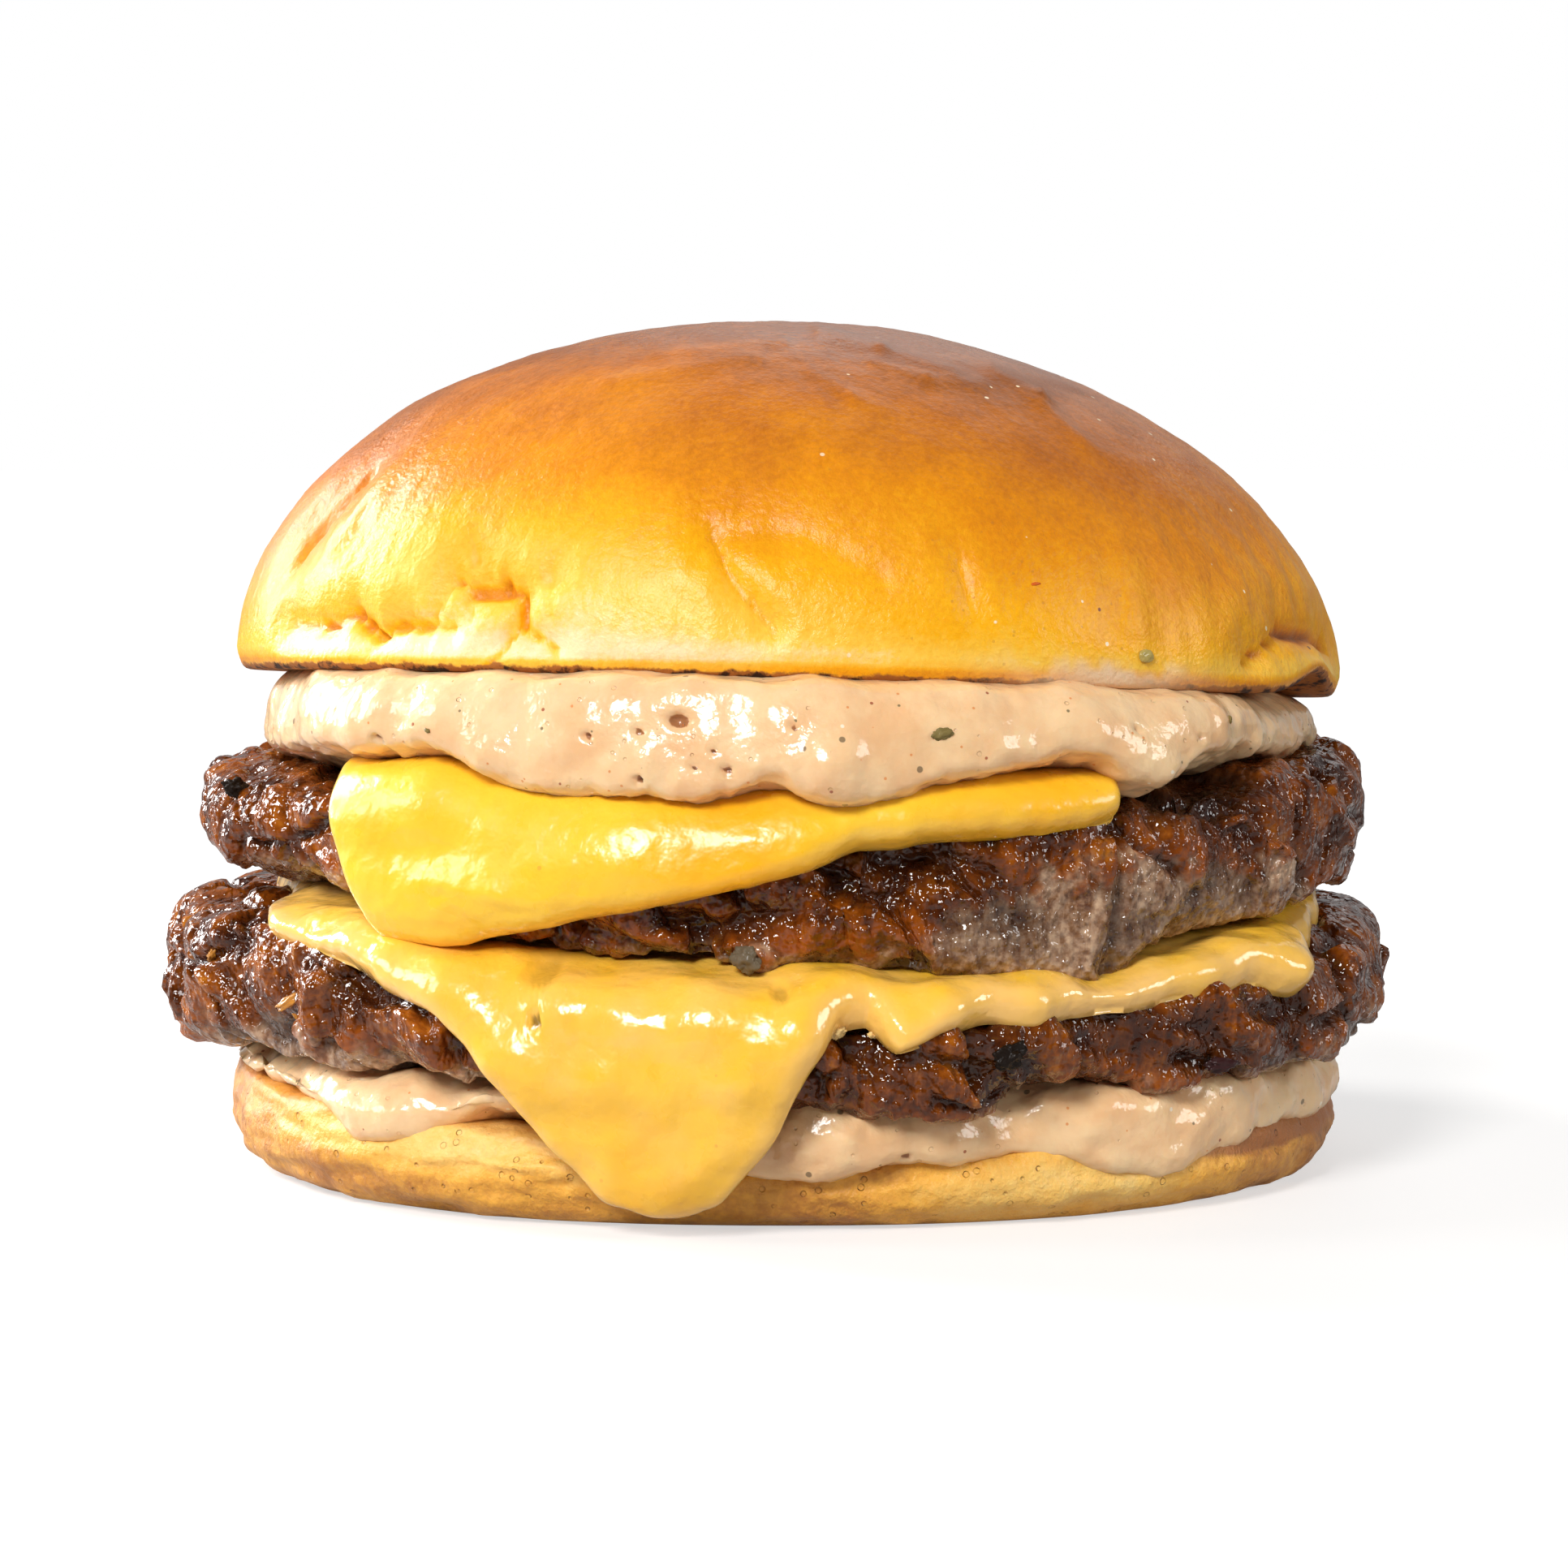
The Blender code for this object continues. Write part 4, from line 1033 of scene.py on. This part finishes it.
class BURGER_OT_patties(bpy.types.Operator):
    """Two patties of minced beef, with a seared, craggy crust"""

    bl_idname = "burger.patties"
    bl_label = "Patties"

    def execute(self, context):
        settings = context.scene.burger_patty
        finish = seared_beef(settings)
        self.build(settings, finish, LOWER_PATTY, "patty_lower", 40)
        self.build(settings, finish, UPPER_PATTY, "patty_upper", 70)
        return {"FINISHED"}

    def build(self, settings, finish, form, name, seed):
        turns = spread_turns(700)
        curves = space_rings(section_curves(form.section(turns)), 140, 46)
        radius, height = curves[..., 0], curves[..., 1]
        turn = np.broadcast_to(turns[:, None], radius.shape)
        side = step_between(radius, 42, 52)
        crags = np.minimum(0.12, lumps(turn, height, 7.5, form.seed + 3))
        clefts = np.maximum(0, 1 - np.abs(lumps(turn, height * 0.35, 9, form.seed + 9)) / 0.14)
        curves = places(
            radius + side * (1.8 * crags - 1.0 * clefts - 0.3),
            height + side * 0.7 * lumps(turn, radius, 6.5, form.seed + 5),
        )
        grid = stand(turns, curves)
        low, high = form.lower_rim(turn), form.upper_rim(turn)
        share = (grid[..., 2] - low) / (high - low)
        edge = 0.46 + 0.17 * soft_noise(grid, 9, seed + 1) + 0.16 * rough_noise(grid, 3, seed + 2)
        if form is UPPER_PATTY:
            bare = 0.4 * about(turn, 22, 34)
            bare += 0.6 * step_between(turn, 13, 18) * step_between(-turn, -64, -52)
        else:
            bare = 0.55 * about(turn, 75, 22)
        bare = bare + 0.35 * about(turn, -52, 16) + 0.6 * step_between(np.abs(turn), 115, 150)
        above = share - edge * np.clip(bare, 0, 1) * 1.15
        if form is UPPER_PATTY:
            streak = about(turn, 29, 6) * bell(grid[..., 2] + 0.12 * turn, 37.2, 0.9)
            above = above - 0.1 * streak * (0.6 + 0.6 * rough_noise(grid, 2.5, 77))
        above = above + 0.1 * rough_noise(grid, 1.8, seed + 30)
        seared = step_between(above, -0.1, 0.12)
        brink = bell(above, 0.1, 0.12) * step_between(share, -0.5, 0.2)

        warped = grid + places(0.6 * grid[..., 2], 0, 0) + 1.6 * stirred(grid, 6.0, seed + 3)
        lobe, _ = pebbles(warped, settings.lobe_size / MM, seed + 6)
        broken = step_between(soft_noise(grid, 12, seed + 20), -0.3, 0.15)
        fissure = (1 - step_between(lobe, 0, 0.2)) * broken * (0.3 + 0.7 * seared)
        first = -0.35 + 0.95 * plates(warped, 9.0, seed + 21) - settings.crag_depth / MM * fissure
        first = first + 0.4 * (seared - 0.5)
        if form is UPPER_PATTY:
            first = first * (1 - 0.7 * about(turn, 28, 8))
        slice_over = LOWER_SLICE if form is LOWER_PATTY else UPPER_SLICE
        uncovered = 1 - step_between(grid[..., 2] - slice_over.hem_height(turn), 0.8, 3.2)
        first = np.clip(first, -2.2, 1.6) * uncovered - 0.5 * (1 - uncovered)
        grid = push(grid, side * first)
        x, y, z = np.moveaxis(grid, -1, 0)
        warped = places(0.75 * x, 0.75 * y, z + 0.35 * x) + 0.7 * stirred(grid, 2.6, seed + 13)
        grain = warped, settings.grain_size / MM, seed + 7
        _, lot = pebbles(*grain)
        second = 0.14 * plates(*grain) + 0.1 * rough_noise(grid, 2.6, seed + 8)
        grid = push(grid, side * uncovered * second)
        third = 0.13 * rough_noise(grid, 1.3, seed + 9, 2)
        grid = push(grid, side * third)
        if form is UPPER_PATTY:
            droop = 1.9 * about(turn, 29, 6) + 0.9 * about(turn, 15, 4)
            grid = raise_up(grid, -side * (1 - step_between(share, -0.1, 0.55)) * droop)
        make_piece(name, grid, finish, "beef", form.node,
                   seared=seared, brink=brink, relief=first + second + third, lot=lot)


class BURGER_OT_cheeses(bpy.types.Operator):
    """Two square slices, melted over the patties' rims, the lower one in a long tongue"""

    bl_idname = "burger.cheeses"
    bl_label = "Cheese"

    def execute(self, context):
        settings = context.scene.burger_cheese
        upper = melted_cheese("melted_cheese", settings.upper_colour, settings.thin_colour, 0.0)
        lower = melted_cheese("greasy_cheese", settings.lower_colour, settings.thin_colour, 1.0)

        even = around([(-120, 1), (0, 1), (120, 1)])
        grid, edge = UPPER_SLICE.sheet(680, 130, bead=0.1, wave=0.25, fullness=even)
        side = step_between(radius_of(grid), 50, 54)
        turn, height = turn_of(grid), grid[..., 2]
        streaked = places(np.radians(turn) * 30, height, 0)
        creased = about(turn, -27, 9) * bell(height, 30, 3.2)
        raised = 1.7 * about(turn, -35, 11) * step_between(height, 35, 40)
        grid = raise_up(grid, side * raised)
        bulges = patches(turn, height, [
            (0.5, -34, 4, 38, 3.5), (0.6, -28, 6, 30.6, 2), (-0.6, -33, 7, 34, 1.8),
        ])
        grid = push(grid, side * (0.5 * soft_noise(grid, 12, 5) + 0.2 * soft_noise(grid, 5, 6) + bulges
                                  + 0.35 * creased * rough_noise(streaked, 2.4, 25)))
        thin = 0.25 * step_between(1.6 - edge, 0, 1.2)
        # Deeper orange, partly thick cheese and partly painted shade, under the sauce's bulge and on the
        # right.
        deep = about(turn, -5, 5) * bell(height, 35, 5) + 0.6 * about(turn, 22, 14)
        deep += 0.4 * rough_noise(grid, 9, 44)
        make_piece("cheese_upper", grid, upper, "cheese", "upper_cheese",
                   thin=thin, deep=np.clip(deep, 0, 1), pit=0)

        thinned = around([
            (-160, 0.8), (-90, 0.4), (-57, 0.4), (-46, 0.6), (-30, 1), (0, 1), (10, 0.8), (22, 0.8),
            (29, 0.5), (38, 0.7), (49, 1), (60, 0.8), (120, 0.8),
        ])
        grid, edge = LOWER_SLICE.sheet(740, 126, bead=0.25, wave=0.3, fullness=thinned)
        turn, height = turn_of(grid), grid[..., 2]
        side = step_between(radius_of(grid), 51, 55)
        shoulder = about(turn, -18, 19) + 0.6 * about(turn, 28, 26)
        shoulder = 0.2 * np.clip(shoulder, 0, 1) * bell(height, 26, 1.8) * step_between(edge, 1, 4)
        waves = 0.75 * soft_noise(grid, 8, 15) + 0.42 * soft_noise(grid, 4.2, 16)
        grid = push(grid, side * (waves + shoulder))
        lines = [(-31, 26.2, -26, 26.2, 0.8, 0.7), (-26, 26.2, -22, 25.2, 0.8, 0.6)]
        lips = strokes(turn, grid[..., 2], lines)
        pit = open_bubbles(grid, [(-21, 19.7, 0.65, 0.55)])
        dimples = open_bubbles(grid, [(-21.7, 23.6, 1.5, 1.2), (-0.3, 22.6, 0.8, 0.6)])
        grid = push(grid, side * (lips - 1.2 * pit - 0.5 * dimples))
        thin = 0.55 * step_between(2.2 - edge, 0, 1.8) + 0.35 * about(turn, 30, 22)
        thin = thin + 0.8 * about(turn, -72, 26)
        thin = thin + 0.35 * rough_noise(grid, 6, 18) + 0.4 * about(turn, -12, 12) * bell(height, 21, 5)
        # Deeper orange, partly thick cheese and partly painted shade, low on the tongue.
        deep = 0.5 * about(turn, -14, 9) * step_between(16 - height, 0, 8)
        deep *= step_between(rough_noise(grid, 8, 61), -0.5, 0.5)
        # The pit field, with the dimples at a lower share, carries the painted shade in the holes.
        make_piece("cheese_lower", grid, lower, "cheese", "lower_cheese",
                   thin=np.clip(thin, 0, 1), deep=deep, pit=np.maximum(pit, 0.42 * dimples))
        return {"FINISHED"}


class BURGER_OT_crown(bpy.types.Operator):
    """Upper bun: a glazed dome with baking creases"""

    bl_idname = "burger.crown"
    bl_label = "Upper bun"

    def execute(self, context):
        bun = context.scene.burger_bun
        turns = spread_turns(590, 1.3)
        curves = section_curves(crown_section(turns))
        curves = space_rings(curves, 162, 50, dome=True)
        turn, radius, rise = turns[:, None], curves[..., 0], curves[..., 1]
        rings = np.arange(curves.shape[1])
        outer = rings <= rise.argmin(axis=1)[:, None]
        face = cut_face(turn, radius)
        near_edge = step_between(radius, 44, 53) * (1 - step_between(rise, 0, 6))
        curl = 2.2 * near_edge * bell(turn, 69, 7)
        grid = stand(turns, places(radius, face + rise + curl))
        skin = step_between(rise, 0.6, 2.6) * outer

        wander = 0.5 * soft_noise(grid, 5, 1), 0.4 * soft_noise(grid, 5, 2)
        # How deep the creases cut; the crust also paints shade in them from this.
        fold = strokes(turn_of(grid) + wander[0], grid[..., 2] + wander[1], CREASES)
        dents = 0.8 * about(turn, -62, 7) * bell(grid[..., 2], 62, 5)
        for left, low_end, right, high_end, half_width, lift in TOP_RIDGES:
            run = np.array([right - left, high_end - low_end])
            away = distance_to(grid[..., 0] + wander[1] - left, grid[..., 2] + 0.3 * wander[0] - low_end, run)
            dents = dents - lift * bell(away, 0, half_width) * (grid[..., 1] < 0)
        swell = 0.35 * soft_noise(grid, 26, 7) + 0.2 * soft_noise(grid, 11, 8)
        grid = push(grid, skin * (swell - bun.crease_depth * fold - dents))
        puckered = patches(turn, grid[..., 2], [
            (0.7, -56, 15, 63, 7), (0.6, 55, 25, 56, 9), (0.9, -6, 5, 58, 5), (0.4, 2, 30, 49, 3),
        ])
        wrinkles = (0.24 * rough_noise(grid, 3.0, 9) + 0.1 * rough_noise(grid, 1.7, 19)) * (0.2 + puckered)
        wrinkles = wrinkles + 0.06 * rough_noise(grid, 2.2, 10)
        upright = places(np.radians(turn) * SKIN_RING, grid[..., 2] * 0.3, 0)
        pleated = step_between(turn, 15, 45) * clear_of_back(turn) * step_between(70 - grid[..., 2], 0, 12)
        wrinkles = wrinkles + 0.22 * soft_noise(upright, 3.4, 14) * pleated
        pit = bell(np.linalg.norm(grid - np.array([1.5, -20.8, 78.2]), axis=-1), 0, 1.1)
        grid = push(grid, skin * (wrinkles - 0.5 * pit))

        turn = turn_of(grid)
        share = np.clip(rise / CROWN_RISE, 0, 1)
        bake = 0.3 + 0.73 * share**0.9 + 0.14 * np.sin(np.radians(turn)) + 0.06 * soft_noise(grid, 18, 11)
        bake += 0.28 * about(turn, -80, 32) - 0.12 * about(turn, 80, 22)
        bake -= 0.22 * about(turn, -30, 30) * bell(share, 0.12, 0.28)
        bake -= 0.16 * bell(rise, 2.2, 1.3)
        bake += 0.3 * bell(rise, 0.9, 0.5)
        lip = np.clip(0.5 + (0.62 + 0.22 * rough_noise(grid, 3, 12) - rise) / 2, 0, 1)
        toast = np.where(outer & (rise > 0.02), lip, 0.66)
        smear = about(turn, 33, 9) * step_between(2.6 - rise + 1.4 * rough_noise(grid, 4, 13), 0, 1.2)
        flecked = step_between(turn, -20, 20) * clear_of_back(turn) * step_between(0.97 - share, 0, 0.1)
        gloss = about(turn, -47, 9) * bell(share, 0.6, 0.2) + step_between(share, 0.8, 0.93)
        gloss = gloss + 0.9 * about(turn, -6, 7) * bell(share, 0.33, 0.15) + 0.6 * bell(share, 0.1, 0.08)
        make_piece("bun_crown", grid, glazed_crust(bun), "crown_crust", "crown_bun",
                   bake=np.clip(bake, 0, 1), toast=toast, smear=np.clip(smear, 0, 1), flecked=flecked,
                   fold=fold, gloss=np.clip(gloss, 0, 1))
        return {"FINISHED"}


BITS = {
    # name: carrier, slot, colour, coat, raggedness, then spots of
    # turn, height, (length, width, thickness), tilt
    "char_flake": ("patty_upper", "beef", (0.016, 0.008, 0.004), 0.0, 0.5, [
        (-68, 41.5, (2.2, 1.6, 2.4), 30),
    ]),
    "black_crumb": ("patty_lower", "beef", (0.012, 0.006, 0.003), 0.1, 0.6, [
        (19.3, 16.6, (3, 2.2, 1.2), 20),
    ]),
    "grey_bit": ("patty_upper", "beef", (0.17, 0.13, 0.08), 0.25, 0.5, [
        (-4.6, 24.6, (2.8, 2.2, 1.5), -20),
    ]),
    "purple_bit": ("patty_lower", "beef", (0.045, 0.014, 0.014), 0.3, 0.5, [
        (42.5, 12.4, (3, 1.4, 1.3), 0),
    ]),
    "fat_sliver": ("patty_lower", "beef", (0.66, 0.27, 0.035), 0.8, 0.5, [
        (-66, 22, (1.9, 0.8, 0.7), 60), (-51, 18.8, (3.2, 0.9, 0.7), 35),
        (-48.5, 17.4, (1.5, 0.6, 0.5), 50),
    ]),
    "cheese_crumb": ("cheese_lower", "cheese", (0.93, 0.66, 0.27), 0.6, 0.5, [
        (4.5, 19, (1.7, 1.2, 1), 20), (6.4, 17.6, (0.9, 0.7, 0.6), 0),
    ]),
    "burnt_crumb": ("cheese_lower", "cheese", (0.45, 0.15, 0.02), 0.4, 0.5, [
        (-16.4, 15.1, (0.6, 0.5, 0.3), 0), (-14, 10.5, (0.35, 0.3, 0.2), 0),
        (-5, 13.9, (0.4, 0.3, 0.2), 0),
    ]),
    "relish": ("bun_crown", "sauce", (0.58, 0.44, 0.12), 0.5, 0.15, [
        (36.9, 51.3, (1.9, 1.2, 0.7), -5),
    ]),
    "herb_bit": ("sauce_upper", "sauce", (0.26, 0.19, 0.06), 0.2, 0.4, [
        (13.6, 45, (1.8, 1, 0.5), 10), (46, 45.6, (0.8, 0.5, 0.35), 60),
        (-33, 44.6, (0.7, 0.4, 0.3), -20),
    ]),
    "paprika_flake": ("bun_crown", "sauce", (0.85, 0.16, 0.02), 0.2, 0.3, [
        (25.4, 60.8, (0.9, 0.3, 0.16), 5),
    ]),
}


class BURGER_OT_bits(bpy.types.Operator):
    """Small bits that stick to the layers: char, fat, relish, herbs and crumbs"""

    bl_idname = "burger.bits"
    bl_label = "Small bits"

    def execute(self, context):
        for seed, (name, (carrier, slot, colour, coat, ragged, spots)) in enumerate(BITS.items()):
            tree = BVHTree.FromObject(bpy.data.objects[carrier], context.evaluated_depsgraph_get())
            bits = bmesh.new()
            for spot in spots:
                self.add_bit(bits, tree, seed, ragged, *spot)
            mesh = bpy.data.meshes.new(name)
            bits.to_mesh(mesh)
            bits.free()
            mesh.shade_smooth()
            piece = link_mesh(mesh, bit_finish(name, colour, coat))
            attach(piece, BODY)
        return {"FINISHED"}

    def add_bit(self, bits, tree, seed, ragged, turn, height, size, tilt):
        """Sets a ragged bead on the carrier, a quarter sunk into it."""
        angle = math.radians(turn)
        near = Vector((math.sin(angle) * BIT_RING, -math.cos(angle) * BIT_RING, height)) * MM
        spot, normal, _, _ = tree.find_nearest(near)
        if spot is None:
            raise RuntimeError("A small bit has nothing to stick to")
        facing = normal.to_track_quat("Z", "Y").to_matrix().to_4x4()
        turned = facing @ Matrix.Rotation(math.radians(tilt), 4, "Z")
        bead = bmesh.ops.create_icosphere(bits, subdivisions=4, radius=0.5)["verts"]
        for vert in bead:
            bulge = noise.noise(vert.co * 3 + Vector((seed, turn, height))) + 0.5 * noise.noise(vert.co * 8)
            vert.co *= 1 + ragged * bulge
            vert.co = Vector(part * length * MM for part, length in zip(vert.co, size))
        lifted = Matrix.Translation(spot + normal * (size[2] * 0.15 * MM))
        bmesh.ops.transform(bits, matrix=lifted @ turned, verts=bead)


class BURGER_OT_stage(bpy.types.Operator):
    """Pale table, soft studio light and the camera"""

    bl_idname = "burger.stage"
    bl_label = "Stage"

    def execute(self, context):
        settings = context.scene.burger_stage
        scene = context.scene
        self.lay_table(settings)
        self.light_sky(scene)
        self.add_softbox("key_softbox", (-0.36, -0.93, 0.7), 0.36, 12.6)
        self.add_softbox("side_softbox", (-1.0, -0.15, 0.5), 0.36, 3.8)
        self.add_softbox("rim_softbox", (-0.76, 0.48, 0.48), 0.36, 8.5)
        self.add_softbox("low_rim_softbox", (-0.84, 0.46, 0.22), 0.2, 3.6)
        self.add_softbox("fill_softbox", (1.05, -0.32, 0.45), 0.4, 4.0)
        self.add_softbox("back_softbox", (0.2, 0.9, 0.75), 0.7, 1.2)
        self.add_camera(scene, settings)
        scene.view_settings.view_transform = "Standard"
        scene.view_settings.look = "None"
        return {"FINISHED"}

    def lay_table(self, settings):
        table = bmesh.new()
        bmesh.ops.create_circle(table, cap_ends=True, segments=96, radius=3.0)
        mesh = bpy.data.meshes.new("table")
        table.to_mesh(mesh)
        table.free()
        cloth = Finish("table_top", Roughness=0.6, Specular_IOR_Level=0.2)
        away = cloth.add("ShaderNodeVectorMath", {"operation": "LENGTH"}, _0=cloth.place).outputs["Value"]
        far = cloth.span(away, 0.05, 0.34)
        cloth.feed("Base Color", cloth.mix(far, tuple(settings.floor_colour), (0.0, 0.0, 0.0)))
        cloth.feed("Emission Color", (1.0, 1.0, 1.0))
        seen = cloth.add("ShaderNodeLightPath").outputs["Is Camera Ray"]
        glow = cloth.span(away, 0.09, 0.19, 0.58, 1.0)
        cloth.feed("Emission Strength", cloth.sum("MAXIMUM", cloth.times(glow, seen), 0.1))
        top = link_mesh(mesh, cloth.material)

    def light_sky(self, scene):
        """A white backdrop all round, whose own light is weak in front and stronger behind."""
        world = bpy.data.worlds.new("studio")
        scene.world = world
        world.use_nodes = True
        tree = world.node_tree
        background = tree.nodes["Background"]
        background.inputs["Color"].default_value = (1, 1, 1, 1)
        direction = tree.nodes.new("ShaderNodeTexCoord")
        split = tree.nodes.new("ShaderNodeSeparateXYZ")
        behind = tree.nodes.new("ShaderNodeMapRange")
        seen = tree.nodes.new("ShaderNodeLightPath")
        choice = tree.nodes.new("ShaderNodeMix")
        for name, value in (("From Min", -0.5), ("From Max", 0.9), ("To Min", 0.06), ("To Max", 0.42)):
            behind.inputs[name].default_value = value
        choice.inputs[3].default_value = 1.0
        tree.links.new(direction.outputs["Generated"], split.inputs[0])
        tree.links.new(split.outputs["Y"], behind.inputs["Value"])
        tree.links.new(behind.outputs[0], choice.inputs[2])
        tree.links.new(seen.outputs["Is Camera Ray"], choice.inputs[0])
        tree.links.new(choice.outputs[0], background.inputs["Strength"])

    def add_softbox(self, name, place, size, power):
        light = bpy.data.lights.new(name, "AREA")
        light.shape, light.size, light.energy = "DISK", size * 1.13, power
        box = bpy.data.objects.new(name, light)
        box.location = place
        box.rotation_euler = (Vector((0, 0, 0.035)) - Vector(place)).to_track_quat("-Z", "Y").to_euler()
        bpy.context.scene.collection.objects.link(box)

    def add_camera(self, scene, settings):
        lens = bpy.data.cameras.new("camera")
        lens.lens, lens.sensor_width, lens.sensor_fit = settings.lens, 36.0, "HORIZONTAL"
        lens.clip_start, lens.clip_end = 0.01, 20.0
        camera = bpy.data.objects.new("camera", lens)
        aim = Vector((0, 0, settings.aim_height))
        back = Vector((0, -math.cos(settings.elevation), math.sin(settings.elevation)))
        camera.location = aim + back * settings.distance
        camera.rotation_euler = (-back).to_track_quat("-Z", "Y").to_euler()
        scene.collection.objects.link(camera)
        scene.camera = camera


class BURGER_PT_panel(bpy.types.Panel):
    """Lists the burger's steps and settings"""

    bl_idname = "BURGER_PT_panel"
    bl_label = "Cheeseburger"
    bl_space_type = "VIEW_3D"
    bl_region_type = "UI"
    bl_category = "Burger"

    def draw(self, context):
        for operator in OPERATORS:
            self.layout.operator(operator.bl_idname)
        for name in SETTINGS:
            group = getattr(context.scene, name)
            box = self.layout.box()
            for key in group.bl_rna.properties.keys():
                if key not in ("rna_type", "name"):
                    box.prop(group, key)


SETTINGS = {
    "burger_bun": BurgerBunSettings,
    "burger_patty": BurgerPattySettings,
    "burger_cheese": BurgerCheeseSettings,
    "burger_sauce": BurgerSauceSettings,
    "burger_stage": BurgerStageSettings,
}
OPERATORS = (
    BURGER_OT_heel, BURGER_OT_sauces, BURGER_OT_patties, BURGER_OT_cheeses, BURGER_OT_crown, BURGER_OT_bits,
    BURGER_OT_stage,
)


def register():
    for group in SETTINGS.values():
        bpy.utils.register_class(group)
    for name, group in SETTINGS.items():
        setattr(bpy.types.Scene, name, PointerProperty(type=group))
    for operator in OPERATORS:
        bpy.utils.register_class(operator)
    bpy.utils.register_class(BURGER_PT_panel)


def unregister():
    bpy.utils.unregister_class(BURGER_PT_panel)
    for operator in reversed(OPERATORS):
        bpy.utils.unregister_class(operator)
    for name, group in SETTINGS.items():
        delattr(bpy.types.Scene, name)
        bpy.utils.unregister_class(group)


def main():
    register()
    for operator in OPERATORS:
        group, step = operator.bl_idname.split(".")
        getattr(getattr(bpy.ops, group), step)()


if __name__ == "__main__":
    main()
